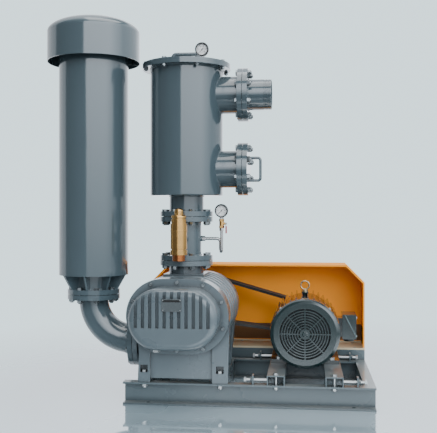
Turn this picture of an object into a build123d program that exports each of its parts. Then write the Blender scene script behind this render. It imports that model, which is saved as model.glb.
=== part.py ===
from build123d import *

import os
from math import acos, asin, cos, pi, radians, sin, sqrt, tan

# Roots vacuum pump package: three-lobe blower, belt-driven by a foot-mounted motor, with an
# inlet filter vessel above the pump and a discharge silencer at its left.
# Millimetres. +X runs to the right along the front beam, +Y to the back, +Z up.
# The origin lies on the floor at the centre of the four anchor holes.

# Clearances
running_gap = 0.05          # radial gap of a shaft in its bearing, and of pressed rings
rotor_gap = 0.3             # rotor to rotor, rotor to bore, belt to groove
loose_gap = 0.5             # pieces that slide or turn without touching
bolt_gap = 1.0              # radial room of a bolt in its hole

# Base frame
base_length = 1115
base_width = 870
base_right_reach = 95       # right end of the frame past the anchor holes
beam_height = 100
beam_flange = 50
beam_web = 6
beam_lip = 8
anchor_margin = 205         # frame length less the anchor pitch
anchor_edge = 25            # hole line to the outer edge of the flange
anchor_hole = 18

# Blower
pump_x = -314
shaft_height = 400
port_depth = 240            # port centre line behind the front of the base
shaft_spacing = 144
casing_length = 400
end_width = 456
end_height = 330
front_plate_thickness = 55
rear_plate_thickness = 50
rib_depth = 12
rib_thickness = 30
rib_corner = 9
rib_count = 4
port_bore = 125
cover_flange_thickness = 20
cover_bolt = 10
cover_bolt_inset = 16
cover_bolt_angles = (-69, -20, 26, 69)
cover_depth = 135
cover_margin = 34           # step from the cover flange to the raised cover
cover_wall = 11
cover_fillet = 32
groove_count = 11
groove_pitch = 31
groove_width = 14
groove_depth = 10
groove_drop = 33            # grooves end this far below the shafts
left_leg_offset = -156
left_leg_width = 56
left_leg_flare = -12
right_leg_offset = 185
right_leg_width = 70
right_leg_flare = 8         # outer edge widens towards the shafts
leg_recess = 20             # legs stand back from the front plate
foot_length = 85
foot_height = 45            # seat of the foot bolt above the base
front_foot_depth = 21       # front foot bolts behind the front of the base
pocket_wall = 5
foot_toe = 22
foot_bolt = 16
pocket_half = 17
pocket_top = 78
panel_gap = 18              # slot between the base and the plate between the legs
panel_recess = 10
skirt_top_half = 210
skirt_foot_half = 190
skirt_drop = 80
rear_foot_width = 60
rear_foot_inset = 28
pump_beam_offset = 169      # beam under the right feet
discharge_height = 256
discharge_reach = 214       # casing flange to the pump centre
plenum_half = 165
plenum_wall = 40
port_boss = 190
port_boss_rise = 7          # boss above the rotor housing
plug_hexagon = 28
plug_head = 12
bearing_cap = 136
bearing_cap_flange = 12
bearing_cap_raised = 104
bearing_cap_depth = 22
bearing_cap_recess = 14

nameplate_width = 86
nameplate_height = 54
nameplate_rise = 65         # plate centre above the shafts
plug_thread = 20
plug_offset = -75
plug_depth = 60

# Rotating parts
lobes = 3
lobe_turn = -30             # lobes of both rotors in mesh at rest
gear_offset = 25            # gears in front of the end plate
gear_shaft = 44
rotor_shaft = 50
drive_end = 40
gear_teeth = 24
gear_face = 40
pressure_angle = 20
gear_backlash = 0.8
bearing_diameter = 90
bearing_width = 24
ball_diameter = 10
balls = 8
seal_diameter = 68
seal_width = 12
seal_seat_depth = 60        # bore behind a bearing, through the plate
gear_hole = 18
gear_hole_circle = 84
gear_holes = 6

# Flanges, DN125 pipe and DN150 necks
flange_diameter = 250
flange_thickness = 23
gasket = 2
bolt_circle = 210
flange_bolts_each = 8
flange_bolt = 16
pipe_diameter = 140
pipe_wall = 5
neck_diameter = 162

# Inlet line
top_flange_rise = 45        # casing flange above the rotor housing
spool_length = 203          # outer face to outer face
vessel_diameter = 344
vessel_wall = 4
vessel_height = 595
vessel_neck = 73
vessel_corner = 6
ring_diameter = 416
ring_thickness = 12
lid_thickness = 13
lid_bolt_circle = 390
lid_bolts_each = 8
lid_pad = 70
lid_pad_rise = 8
lid_bolt = 12
nozzle_upper = 474          # nozzle heights above the vessel bottom
nozzle_lower = 125
nozzle_reach = 270
side_neck_diameter = 175
nipple_diameter = 144
nipple_length = 108
nipple_grooves = 5
nipple_groove_pitch = 7
nipple_groove_depth = 2.5
nipple_groove_width = 3
cartridge_diameter = 220
cartridge_end = 240
cartridge_drop = 60         # cartridge ends this far below the vessel ring
cartridge_cap = 12
handle_height = 62
handle_width = 150
handle_bar = 18
grip_width = 119
grip_reach = 62
grip_bar = 13

# Silencer
elbow_radius = 190
silencer_diameter = 331
silencer_neck = 67
silencer_wall = 3
silencer_length = 1079
cap_diameter = 442
cap_overlap = 62            # cap skirt below the shell rim
cap_skirt = 140
cap_crown = 74
cap_knob = 14
strut_thickness = 6
strut_height = 38
sound_tube = 206
sound_tube_drop = 120       # tube ends this far below the shell rim
gusset_count = 8
gusset_thickness = 8
gusset_foot = 120           # gusset reach at the flange
gusset_edge = 8
silencer_floor = 6

# Relief valve; its heights are counted from the axis of its branch
branch_rise = 100           # branch and siphon axis above the spool's lower face
relief_branch = 34
relief_union = 14
relief_y_offset = -165      # in front of the spool axis
relief_x_offset = -10       # the branch leans a little to the left
relief_drop = 98
relief_body = 75
relief_wall = 7
relief_collar = 77
relief_foot = 57
relief_inlet = 40
foot_rise = 28
collar_height = 22
neck_height = 5
neck_depth = 4
bead_rise = 36
bead = 5
bead_proud = 1.5
seat_drop = 35
rim_rise = 70
disc_thickness = 8
stem_diameter = 12
relief_bonnet = 68
bonnet_height = 41
bonnet_spigot = 8
bonnet_corner = 9
bonnet_band_rise = 22
cap_nut_diameter = 40
cap_nut_height = 29
cap_nut_corner = 11
cap_nut_flats = 36
cap_nut_hexagon = 10

# Gauges and siphon
siphon_tube = 14
siphon_wall = 1.5
siphon_drop = 60
siphon_reach = 171
siphon_trap = 36            # depth of the trap in front of the spool boss
siphon_lean = 10            # down leg to the left of the up leg
siphon_boss = 26
siphon_boss_reach = 6
valve_rise = 50
valve_length = 42
valve_hexagon = 21
valve_bore = 8
valve_ball = 15
valve_stem = 5
valve_neck = 17
lever_length = 46
lever_width = 9
lever_plate = 3             # sheet of the lever at its pivot
lever_head = 12
pivot_nut = 9
gauge_diameter = 61
gauge_depth = 28
gauge_rise = 39
gauge_stem = 12
gauge_nut = 17
gauge_lip = 4               # case wall round the dial
dial_depth = 9              # dial face below the rim
needle_pivot = 3
lid_gauge_x = 95
lid_gauge_y = -150

# Motor
motor_x = 244
motor_height = 160          # shaft centre above the feet
rail_height = 43
rail_width = 78
rail_wall = 5
rail_length = 650
foot_pitch_x = 254
foot_pitch_y = 210
foot_thickness = 18
motor_front = 150           # grille face behind the front of the base
fan_cover_length = 62
frame_diameter = 284
fin_diameter = 325
fin_count = 36
fin_thickness = 5
frame_back = 620
motor_shaft = 42
stator_length = 190
rotor_diameter = 150
eye_diameter = 48
eye_bar = 7
eye_collar = 30
eye_collar_height = 8
eye_shank = 14
box_width = 66
box_height = 118
box_length = 130
slide_travel = 8            # belt take-up each way
rail_bolt = 14
rail_bolt_front = 24
rail_bolt_back = 610
support_depth = 585         # beam under the rail ends

# Belt drive and guard
belt_depth = 715
belt_count = 4
belt_pitch = 25.5
belt_width = 22
belt_height = 14
belt_top_line = 5           # belt top above the pitch line
groove_half_angle = 19
pump_pulley_pitch = 231
motor_pulley_pitch = 155
guard_front = 650
guard_back = 865
pedestal_height = 50
guard_height = 437
guard_chamfer = 90
guard_sheet = 3
guard_lip = 9

# Motor details
motor_foot_depth = 322
motor_mid_depth = 430       # lifting eye and terminal box behind the front of the base
box_reach = 178
box_rise = 5                # box centre above the motor shaft
lid_edge = 4                # lid proud of the box at each end
lid_step = 12
cable_entry = 32
stator_bore = 250
shield_thickness = 22
fan_cover_diameter = 318
cowl_wall = 3
grille_radius = 116
grille_hub = 24
grille_rings = 7
grille_pitch = 12
grille_spokes = 8
grille_depth = 4
grille_bar = 5
fan_inset = 16
fan_diameter = 256
fan_hub = 54
fan_shaft = 30
fan_blades = 9
fan_disc = 3
blade_depth = 21
cowl_shoulder = 15
fin_margin = 10             # fins end this far before the barrel
foot_pad_margin = 60        # pad longer than the foot bolt pitch
foot_pad_outer = 34
foot_pad_inner = 60
box_seat = 90
eye_boss = 34
eye_boss_rise = 3           # boss above the fins
shield_step = 6
spigot_depth = 10
hub_diameter = 104
hub_length = 34
winding_diameter = 220
winding_length = 38
entry_wall = 8
entry_drop = 16
entry_depth = 20
screw_rise = 18             # tension screw above the base
screw_size = 14
bracket_gap = 58
bracket_width = 44
bracket_height = 40
screw_tail = 26             # screw beyond its bracket
screw_head = 10
screw_nut = 9
bracket_thickness = 8
bracket_depth = 30

# Derived stations
front = -base_width / 2
back = base_width / 2
anchor_pitch = base_length - anchor_margin
base_right = anchor_pitch / 2 + base_right_reach
base_left = base_right - base_length
deck = beam_height
port_y = front + port_depth
casing_front = port_y - casing_length / 2
casing_back = port_y + casing_length / 2
plate_front = casing_front - front_plate_thickness
plate_back = casing_back + rear_plate_thickness
cover_back = plate_front - cover_flange_thickness
cover_front = cover_back - cover_depth
belt_y = front + belt_depth
pulley_width = belt_count * belt_pitch + 6
left_leg_x = pump_x + left_leg_offset
right_leg_x = pump_x + right_leg_offset
pump_beam_x = pump_x + pump_beam_offset
front_foot_y = front + front_foot_depth
rear_foot_y = casing_back + rear_plate_thickness / 2
rear_foot_reach = skirt_foot_half - rear_foot_inset
foot_spots = (
    (left_leg_x, front_foot_y),
    (right_leg_x, front_foot_y),
    (pump_x - rear_foot_reach, rear_foot_y),
    (pump_x + rear_foot_reach, rear_foot_y),
)
drive_x = pump_x + shaft_spacing / 2
driven_x = pump_x - shaft_spacing / 2
lobe_circle = shaft_spacing / (4 * lobes)
rotor_tip = shaft_spacing / 2 + 2 * lobe_circle
joint_grip = 2 * flange_thickness + gasket
top_flange_height = shaft_height + end_height / 2 + top_flange_rise
spool_bottom = top_flange_height + flange_thickness + gasket
spool_top = spool_bottom + spool_length
vessel_flange = spool_top + gasket
vessel_bottom = vessel_flange + vessel_neck + flange_thickness
vessel_top = vessel_bottom + vessel_height
lid_bottom = vessel_top + ring_thickness
lid_top = lid_bottom + lid_thickness
elbow_end_x = pump_x - discharge_reach - flange_thickness - gasket
silencer_x = elbow_end_x - flange_thickness - elbow_radius
elbow_top = discharge_height + elbow_radius
silencer_flange = elbow_top + flange_thickness + gasket
silencer_bottom = silencer_flange + flange_thickness + silencer_neck
silencer_top = silencer_bottom + silencer_length
cap_bottom = silencer_top - cap_overlap
cap_corner = cap_bottom + cap_skirt
cap_top = cap_corner + cap_crown
relief_x = pump_x + relief_x_offset
relief_y = port_y + relief_y_offset
branch_height = spool_bottom + branch_rise
relief_low = branch_height - relief_drop
relief_seat = branch_height - seat_drop
relief_rim = branch_height + rim_rise
relief_crown = relief_rim + bonnet_height
relief_top = relief_crown + cap_nut_height
relief_reach = relief_body / 2 + relief_union
spring_diameter = (relief_body + stem_diameter) / 3
siphon_low = branch_height - siphon_drop
valve_bottom = branch_height + valve_rise
valve_top = valve_bottom + valve_length
valve_x = pump_x + siphon_reach
valve_y = port_y - siphon_trap
line_gauge_z = valve_top + gauge_rise
lid_gauge_z = lid_top + gauge_rise
rail_top = deck + rail_height
motor_z = rail_top + motor_height
rail_centres = (motor_x - foot_pitch_x / 2, motor_x + foot_pitch_x / 2)
rail_bolt_ys = (front + rail_bolt_front, front + rail_bolt_back)
support_front = front + support_depth
fan_face = front + motor_front
frame_front = fan_face + fan_cover_length
frame_end = front + frame_back
gear_y = plate_front - gear_offset - gear_face
pulley_front = belt_y - pulley_width / 2
pulley_back = belt_y + pulley_width / 2
plug_at = (pump_x + plug_offset, cover_front + plug_depth, shaft_height - end_height / 2 + cover_margin)
nameplate_centre = shaft_height + nameplate_rise
motor_foot_ys = (front + motor_foot_depth, front + motor_foot_depth + foot_pitch_y)
bracket_ys = (front + bracket_depth, front + rail_bolt_back)
screw_height = deck + screw_rise
box_y = front + motor_mid_depth
box_inner = motor_x + box_reach
eye_y = box_y
eye_seat = motor_z + fin_diameter / 2 + eye_boss_rise
fan_shaft_end = frame_front - shield_thickness + 8
fan_y = fan_face + fan_inset
pedestal_top = deck + pedestal_height
guard_top = pedestal_top + guard_height
upward = (Align.CENTER, Align.CENTER, Align.MIN)


# Basic forms -----------------------------------------------------------------------------

def block(x, y, z):
    # Box between two corners, each given as (low, high).
    middle = Pos((x[0] + x[1]) / 2, (y[0] + y[1]) / 2, (z[0] + z[1]) / 2)
    return middle * Box(x[1] - x[0], y[1] - y[0], z[1] - z[0])


def rod(diameter, start, end):
    # Round bar between two points.
    way = Vector(*end) - Vector(*start)
    return Plane(origin=start, z_dir=way) * Cylinder(diameter / 2, way.length, align=upward)


def pipe(outside, inside, start, end):
    return rod(outside, start, end) - rod(inside, start, end)


def turned(outline, at=(0, 0, 0), way=(0, 0, 1)):
    # Solid of revolution: the outline is (radius, height) pairs along the direction given.
    profile = Plane.XZ * make_face(Polyline(*outline, close=True))
    return Plane(origin=at, z_dir=way).location * revolve(profile, Axis.Z)


def across(outline, y_front, y_back):
    # Upright prism: a face drawn in (X, Z), carried from one depth to another.
    plane = Plane(origin=(0, y_back, 0), x_dir=(1, 0, 0), z_dir=(0, -1, 0))
    return extrude(plane * outline, amount=y_back - y_front)


def swept_round(diameter, path):
    # Round bar along a path of runs and tangent arcs.
    return sweep(Plane(origin=path @ 0, z_dir=path % 0) * Circle(diameter / 2), path=path)


def polygon(*points):
    return make_face(Polyline(*points, close=True))


def group(solids):
    # Separate solids kept in one node.
    return Compound(list(solids))


def hexagon(flats, height):
    return extrude(RegularPolygon(flats / sqrt(3), 6), amount=height)


def hex_bolt(size, grip, head=0.62, nut=0.8):
    # Hexagon bolt seated at z=0, its shank up +Z through the grip, with its nut beyond.
    head_height = head * size
    nut_height = nut * size
    bolt = Pos(0, 0, -head_height) * hexagon(1.5 * size, head_height)
    bolt += Cylinder(size / 2, grip + nut_height + 0.3 * size, align=upward)
    if nut_height:
        bolt += Pos(0, 0, grip) * hexagon(1.5 * size, nut_height)
    return bolt


def placed(item, at, way, spots):
    # Copies of an item at the spots of a pattern on the plane given.
    plane = Plane(origin=at, z_dir=way).location
    return [plane * spot * item for spot in spots]


def flange_spots():
    return PolarLocations(bolt_circle / 2, flange_bolts_each, start_angle=180 / flange_bolts_each)


def flange(at, way, bore):
    # Flat ring flange drilled for its bolts; no bore leaves it blind.
    plane = Plane(origin=at, z_dir=way)
    disc = plane * Cylinder(flange_diameter / 2, flange_thickness, align=upward)
    drill = Cylinder(flange_bolt / 2 + bolt_gap, flange_thickness, align=upward)
    disc -= placed(drill, at, way, flange_spots())
    if bore:
        disc -= plane * Cylinder(bore / 2, flange_thickness, align=upward)
    return disc


def joint_bolts(at, way):
    return placed(hex_bolt(flange_bolt, joint_grip), at, way, flange_spots())


def gasket_ring(at, way):
    inner_circle = bolt_circle - flange_bolt - 2 * bolt_gap
    start = Vector(*at)
    return pipe(inner_circle, port_bore, at, tuple(start + Vector(*way) * gasket))


# Base ------------------------------------------------------------------------------------

def channel(length):
    # Channel along +X from the origin, open towards -Y, web at the back.
    outer = block((0, length), (0, beam_flange), (0, beam_height))
    inside = block((0, length), (0, beam_flange - beam_web), (beam_lip, beam_height - beam_lip))
    return outer - inside


def anchor_holes(y):
    drill = Cylinder(anchor_hole / 2, beam_lip, align=upward)
    return [Pos(x, y, 0) * drill for x in (-anchor_pitch / 2, anchor_pitch / 2)]


def rail_slot(x, y):
    # Slot in the top flange that lets the hold-down bolt follow the belt take-up.
    slot = SlotOverall(rail_bolt + 2 * bolt_gap + 2 * slide_travel + 4, rail_bolt + 2 * bolt_gap)
    return extrude(Pos(x, y, deck - beam_lip) * slot, amount=beam_lip)


def foot_holes():
    drill = Cylinder(foot_bolt / 2 + bolt_gap, beam_lip, align=upward)
    return [Pos(x, y, deck - beam_lip) * drill for x, y in foot_spots]


def base_front_beam():
    beam = Pos(base_left, front, 0) * channel(base_length)
    beam -= anchor_holes(front + anchor_edge)
    beam -= [rail_slot(x, rail_bolt_ys[0]) for x in rail_centres]
    return beam - foot_holes()


def base_rear_beam():
    beam = Pos(base_right, back, 0) * Rot(0, 0, 180) * channel(base_length)
    return beam - anchor_holes(back - anchor_edge)


def base_cross_beams():
    # Left, pump and right beams run front to back; the support beam carries the rail ends.
    inner_front = front + beam_flange
    depth = base_width - 2 * beam_flange
    open_left = Rot(0, 0, -90) * channel(depth)
    open_right = Rot(0, 0, 90) * channel(depth)
    left = Pos(left_leg_x - beam_flange / 2, inner_front + depth, 0) * open_left
    middle = Pos(pump_beam_x - beam_flange / 2, inner_front + depth, 0) * open_left
    right = Pos(base_right, inner_front, 0) * open_right
    beams = [left - foot_holes(), middle - foot_holes(), right]
    support_start = pump_beam_x + beam_flange / 2
    support = Pos(support_start, support_front, 0) * channel(base_right - beam_flange - support_start)
    support -= [rail_slot(x, rail_bolt_ys[1]) for x in rail_centres]
    return group(beams + [support])


def guard_pedestal():
    # Folded sheet beam, open below and at its ends.
    outer = block((base_left, base_right), (front + guard_front, front + guard_back), (deck, pedestal_top))
    inside = block(
        (base_left, base_right),
        (front + guard_front + guard_sheet, front + guard_back - guard_sheet),
        (deck, pedestal_top - guard_sheet),
    )
    return outer - inside


def guard_outline(inset):
    low, high = base_left + inset, base_right - inset
    floor, roof = pedestal_top + inset, guard_top - inset
    cut = guard_chamfer - inset * tan(radians(22.5))
    return polygon(
        (low, floor), (high, floor), (high, roof - cut), (high - cut, roof), (low + cut, roof), (low, roof - cut)
    )


def belt_guard():
    # Folded sheet tray: closed back, chamfered upper corners, open front with a narrow lip.
    start, end = front + guard_front, front + guard_back
    tray = across(guard_outline(0), start, end)
    tray -= across(guard_outline(guard_sheet), start + guard_sheet, end - guard_sheet)
    return tray - across(guard_outline(guard_lip), start, start + guard_sheet)


# Blower ----------------------------------------------------------------------------------

def oblong(margin):
    # End outline of the blower, drawn in (X, Z), shrunk by the margin.
    return Pos(pump_x, shaft_height) * SlotOverall(end_width - 2 * margin, end_height - 2 * margin)


def skirt(margin, bottom):
    # Tapered lower body between the rotor housing and the feet, drawn in (X, Z).
    top_half = skirt_top_half - margin
    foot_half = skirt_foot_half - margin
    top = shaft_height - skirt_drop
    slope = (top_half - foot_half) / (top - deck)
    low_half = foot_half + slope * (bottom - deck)
    return polygon(
        (pump_x - low_half, bottom), (pump_x + low_half, bottom), (pump_x + top_half, top), (pump_x - top_half, top)
    )


def shaft_spots(y):
    return [(x, y, shaft_height) for x in (drive_x, driven_x)]


def bearing_seats(face, inward):
    # Stepped bores for a bearing and its seal, from a plate face inward (+1 or -1 along Y).
    seats = []
    for x, y, z in shaft_spots(face):
        seats.append(rod(bearing_diameter + 2 * running_gap, (x, y, z), (x, y + inward * bearing_width, z)))
        seats.append(rod(seal_diameter + 2 * running_gap, (x, y, z), (x, y + inward * seal_seat_depth, z)))
    return seats


def foot_pocket(x, y_start, y_end):
    # Opening above a foot that gives room for its bolt head.
    return block((x - pocket_half, x + pocket_half), (y_start, y_end), (deck + foot_height, deck + pocket_top))


def foot_drill(x, y):
    return rod(foot_bolt + 2 * bolt_gap, (x, y, deck), (x, y, deck + foot_height))


def pump_front_plate():
    # Oblong plate with a recessed panel below and two legs ending in long feet.
    leg_front = plate_front + leg_recess
    panel = across(skirt(30, deck + panel_gap), leg_front + panel_recess, casing_front)
    plate = across(oblong(0), plate_front, casing_front) + panel
    legs = ((left_leg_x, left_leg_width, left_leg_flare, -1), (right_leg_x, right_leg_width, right_leg_flare, 1))
    for x, width, flare, side in legs:
        sides = (x - width / 2, x + width / 2)
        inner = x - side * width / 2
        outer = x + side * width / 2
        leg = polygon((inner, deck), (outer, deck), (outer + side * flare, shaft_height), (inner, shaft_height))
        plate += across(leg, leg_front, casing_front)
        plate += block(sides, (casing_front, leg_front + foot_length), (deck, deck + foot_toe))
        plate -= foot_pocket(x, leg_front, casing_front - pocket_wall)
        plate -= foot_drill(x, front_foot_y)
    return plate - bearing_seats(plate_front, 1)


def pump_rear_plate():
    # The same oblong with a tapered skirt, split at the bottom into two feet.
    plate = across(oblong(0), casing_back, plate_back) + across(skirt(0, deck), casing_back, plate_back)
    half = skirt_foot_half - rear_foot_width
    plate -= block((pump_x - half, pump_x + half), (casing_back, plate_back), (deck, deck + panel_gap))
    for x, y in foot_spots[2:]:
        plate -= foot_pocket(x, y - pocket_half, plate_back)
        plate -= foot_drill(x, y)
    return plate - bearing_seats(plate_back, -1)


def pump_casing():
    # Ribbed oblong body with a bored rotor chamber, a low plenum and two flanged ports.
    body = across(oblong(rib_depth), casing_front, casing_back)
    rib_pitch = (casing_length - rib_thickness) / (rib_count + 1)
    for number in range(rib_count + 2):
        start = casing_front + number * rib_pitch
        rib = across(oblong(0), start, start + rib_thickness)
        if number:
            rib = fillet(rib.edges().group_by(Axis.Y)[0], rib_corner)
        if number <= rib_count:
            rib = fillet(rib.edges().group_by(Axis.Y)[-1], rib_corner)
        body += rib
    body += across(skirt(14, discharge_height - neck_diameter / 2 - 4), casing_front, casing_back)
    flange_x = pump_x - discharge_reach
    centre = (pump_x, port_y, discharge_height)
    body += rod(neck_diameter, (flange_x, port_y, discharge_height), centre)
    body += rod(neck_diameter, at_port(shaft_height), at_port(top_flange_height))
    boss = (port_y - port_boss / 2, port_y + port_boss / 2)
    boss_top = shaft_height + end_height / 2 + port_boss_rise
    body += block((pump_x - port_boss / 2, pump_x + port_boss / 2), boss, (shaft_height, boss_top))
    body += flange((flange_x, port_y, discharge_height), (-1, 0, 0), port_bore)
    body += flange((pump_x, port_y, top_flange_height), (0, 0, 1), port_bore)
    for x, y, z in shaft_spots(casing_front):
        body -= rod(2 * (rotor_tip + rotor_gap), (x, y, z), (x, casing_back, z))
    body -= block(
        (pump_x - plenum_half, pump_x + plenum_half),
        (casing_front + plenum_wall, casing_back - plenum_wall),
        (discharge_height - port_bore / 2, shaft_height - 60),
    )
    body -= rod(port_bore, (flange_x - flange_thickness, port_y, discharge_height), centre)
    body -= rod(port_bore, at_port(shaft_height), at_port(top_flange_height + flange_thickness))
    drill = Cylinder(flange_bolt / 2 + bolt_gap, flange_thickness, align=upward)
    return body - placed(drill, (flange_x, port_y, discharge_height), (-1, 0, 0), flange_spots())


def cover_bolt_spots():
    # Two bolts on the centre line and four round each end of the oblong, as (X, Z).
    arc_x = (end_width - end_height) / 2
    arc_radius = end_height / 2 - cover_bolt_inset
    spots = [(0, arc_radius), (0, -arc_radius)]
    for side in (-1, 1):
        for angle in cover_bolt_angles:
            spots.append((side * (arc_x + arc_radius * cos(radians(angle))), arc_radius * sin(radians(angle))))
    return [(pump_x + x, shaft_height + z) for x, z in spots]


def gear_cover():
    # Cast oil cover: flange, raised oblong with a large front fillet, upright grooves above a
    # smooth band, and a hollow that clears the timing gears.
    raised = across(oblong(cover_margin), cover_front, cover_back)
    raised = fillet(raised.edges().group_by(Axis.Y)[0], cover_fillet)
    cover = raised + across(oblong(0), cover_back, plate_front)
    first = pump_x - groove_pitch * (groove_count - 1) / 2
    for number in range(groove_count):
        x = first + number * groove_pitch
        cover -= block(
            (x - groove_width / 2, x + groove_width / 2),
            (cover_front, cover_front + groove_depth),
            (shaft_height - groove_drop, shaft_height + end_height / 2),
        )
    hollow = across(oblong(cover_margin + cover_wall), cover_front + cover_wall + groove_depth, plate_front)
    hollow = fillet(hollow.edges().group_by(Axis.Y)[0], cover_fillet - cover_wall)
    cover -= hollow
    drill = cover_bolt + 2 * bolt_gap
    cover -= [rod(drill, (x, cover_back, z), (x, plate_front, z)) for x, z in cover_bolt_spots()]
    return cover - rod(plug_thread, plug_at, (plug_at[0], plug_at[1], plug_at[2] + 30))


def nameplate():
    # Blank plate on the ribs of the cover.
    return block(
        (pump_x - nameplate_width / 2, pump_x + nameplate_width / 2),
        (cover_front - 2, cover_front),
        (nameplate_centre - nameplate_height / 2, nameplate_centre + nameplate_height / 2),
    )


def oil_drain_plug():
    plug = Plane(origin=plug_at, z_dir=(0, 0, -1)).location * hexagon(plug_hexagon, plug_head)
    return plug + rod(plug_thread - 2 * running_gap, plug_at, (plug_at[0], plug_at[1], plug_at[2] + cover_wall))


def cover_bolts():
    # Cap screws round the gear cover, and the screws that hold the vessel lid.
    screw = hex_bolt(cover_bolt, cover_flange_thickness - 0.3 * cover_bolt - 1, nut=0)
    screws = [Plane(origin=(x, cover_back, z), z_dir=(0, 1, 0)).location * screw for x, z in cover_bolt_spots()]
    lid_screw = hex_bolt(lid_bolt, lid_thickness + ring_thickness)
    return group(screws + placed(lid_screw, (pump_x, port_y, lid_top), (0, 0, -1), lid_spots()))


def lid_spots():
    return PolarLocations(lid_bolt_circle / 2, lid_bolts_each, start_angle=180 / lid_bolts_each)


def pump_foot_bolts():
    # Bolts down through the feet; their nuts sit under the beam flange.
    bolt = hex_bolt(foot_bolt, foot_height + beam_lip)
    seat = deck + foot_height
    return group([Plane(origin=(x, y, seat), z_dir=(0, 0, -1)).location * bolt for x, y in foot_spots])


def ring_at(spot, outside, inside, width, inward):
    x, y, z = spot
    return pipe(outside, inside, spot, (x, y + inward * width, z))


def pump_bearings():
    # Ball bearings as grooved ring sets: outer race, inner race and a row of balls.
    bearings = []
    seat = rotor_shaft + 2 * running_gap
    middle = (seat + bearing_diameter) / 4
    race_half = ball_diameter / 2 + 0.1
    for face, inward in ((plate_front, 1), (plate_back, -1)):
        for x, y, z in shaft_spots(face):
            spot = (x, y, z)
            centre = Plane(origin=(x, y + inward * bearing_width / 2, z), z_dir=(0, 1, 0)).location
            bearings.append(ring_at(spot, bearing_diameter, 2 * (middle + race_half), bearing_width, inward))
            bearings.append(ring_at(spot, 2 * (middle - race_half), seat, bearing_width, inward))
            bearings += [centre * place * Sphere(ball_diameter / 2) for place in PolarLocations(middle, balls)]
    return group(bearings)


def shaft_seals():
    seals = []
    bore = rotor_shaft + 2 * running_gap
    for face, inward in ((plate_front, 1), (plate_back, -1)):
        for x, y, z in shaft_spots(face + inward * (bearing_width + 2)):
            seals.append(ring_at((x, y, z), seal_diameter, bore, seal_width, inward))
    return group(seals)


def rear_bearing_covers():
    # Blind cap on the driven side, open cap round the drive shaft.
    covers = []
    outer = bearing_cap / 2
    raised = bearing_cap_raised / 2
    for x in (drive_x, driven_x):
        outline = [
            (0, 0), (outer, 0), (outer, bearing_cap_flange), (raised, bearing_cap_flange),
            (raised - 4, bearing_cap_depth), (0, bearing_cap_depth),
        ]
        start = (x, plate_back, shaft_height)
        cap = turned(outline, start, (0, 1, 0))
        if x == drive_x:
            cap -= rod(drive_end + 2 * loose_gap, start, (x, plate_back + bearing_cap_depth, shaft_height))
        else:
            cap -= rod(rotor_shaft + 10, start, (x, plate_back + bearing_cap_recess, shaft_height))
        covers.append(cap)
    return group(covers)


def lobe_outline():
    # Cycloid profile: the rolling circle is one sixth of the pitch radius for three lobes.
    # Each point is moved along its own normal by the rotor gap.
    pitch = shaft_spacing / 2
    roll = lobe_circle
    ratio = pitch / roll
    steps = 7
    points = []
    for arc in range(2 * lobes):
        outside = arc % 2 == 0
        sign = 1 if outside else -1
        for step in range(steps):
            turn = 2 * pi / ratio * (arc + (step + 0.5) / steps)
            contact = Vector(pitch * cos(turn), pitch * sin(turn))
            reach = pitch + sign * roll
            roll_turn = (ratio + sign) * turn
            point = Vector(
                reach * cos(turn) - sign * roll * cos(roll_turn),
                reach * sin(turn) - roll * sin(roll_turn),
            )
            normal = (point - contact).normalized() * sign
            points.append(point - normal * rotor_gap)
    return make_face(Spline(*points, periodic=True))


def rotor(x, turn, shaft_steps):
    # Lobed body between the end plates with its stepped shaft.
    start = casing_front + rotor_gap
    end = casing_back - rotor_gap
    plane = Plane(origin=(x, end, shaft_height), x_dir=(1, 0, 0), z_dir=(0, -1, 0))
    body = extrude(plane * (Rot(0, 0, turn) * lobe_outline()), amount=end - start)
    for diameter, y_start, y_end in shaft_steps:
        body += rod(diameter, (x, y_start, shaft_height), (x, y_end, shaft_height))
    return body


def drive_rotor():
    rear_bearing_end = plate_back - 1
    steps = [
        (gear_shaft, gear_y - 6, plate_front - 4),
        (rotor_shaft, plate_front - 4, rear_bearing_end),
        (drive_end, rear_bearing_end, pulley_back + 4),
    ]
    return rotor(drive_x, lobe_turn, steps)


def driven_rotor():
    steps = [
        (gear_shaft, gear_y - 6, plate_front - 4),
        (rotor_shaft, plate_front - 4, plate_back + 8),
    ]
    return rotor(driven_x, lobe_turn, steps)


def timing_gear(x, turn):
    # Spur gear with flanks on a true involute, bored for its shaft and lightened by holes.
    module = shaft_spacing / gear_teeth
    pitch = shaft_spacing / 2
    base = pitch * cos(radians(pressure_angle))
    tip = pitch + 0.9 * module
    root = pitch - 1.2 * module
    involute = tan(radians(pressure_angle)) - radians(pressure_angle)
    half_tooth = pi / (2 * gear_teeth) - gear_backlash / (2 * pitch)

    def flank_angle(radius):
        slope = acos(min(1, base / radius))
        return half_tooth + involute - (tan(slope) - slope)

    def spot(radius, angle):
        return (radius * cos(angle), radius * sin(angle))

    edges = []
    for tooth in range(gear_teeth):
        middle = 2 * pi * tooth / gear_teeth
        after = 2 * pi * (tooth + 1) / gear_teeth
        rise = [spot(r, middle - flank_angle(r)) for r in (base, pitch, tip)]
        fall = [spot(r, middle + flank_angle(r)) for r in (tip, pitch, base)]
        edges.append(Line(spot(root, middle - flank_angle(base)), rise[0]))
        edges.append(ThreePointArc(*rise))
        edges.append(Line(rise[2], fall[0]))
        edges.append(ThreePointArc(*fall))
        edges.append(Line(fall[2], spot(root, middle + flank_angle(base))))
        edges.append(Line(spot(root, middle + flank_angle(base)), spot(root, after - flank_angle(base))))
    plane = Plane(origin=(x, gear_y + gear_face, shaft_height), x_dir=(1, 0, 0), z_dir=(0, -1, 0))
    teeth = make_face(edges)
    teeth -= Circle(gear_shaft / 2 + running_gap)
    teeth -= [place * Circle(gear_hole / 2) for place in PolarLocations(gear_hole_circle / 2, gear_holes)]
    return extrude(plane * (Rot(0, 0, turn) * teeth), amount=gear_face)


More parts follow.
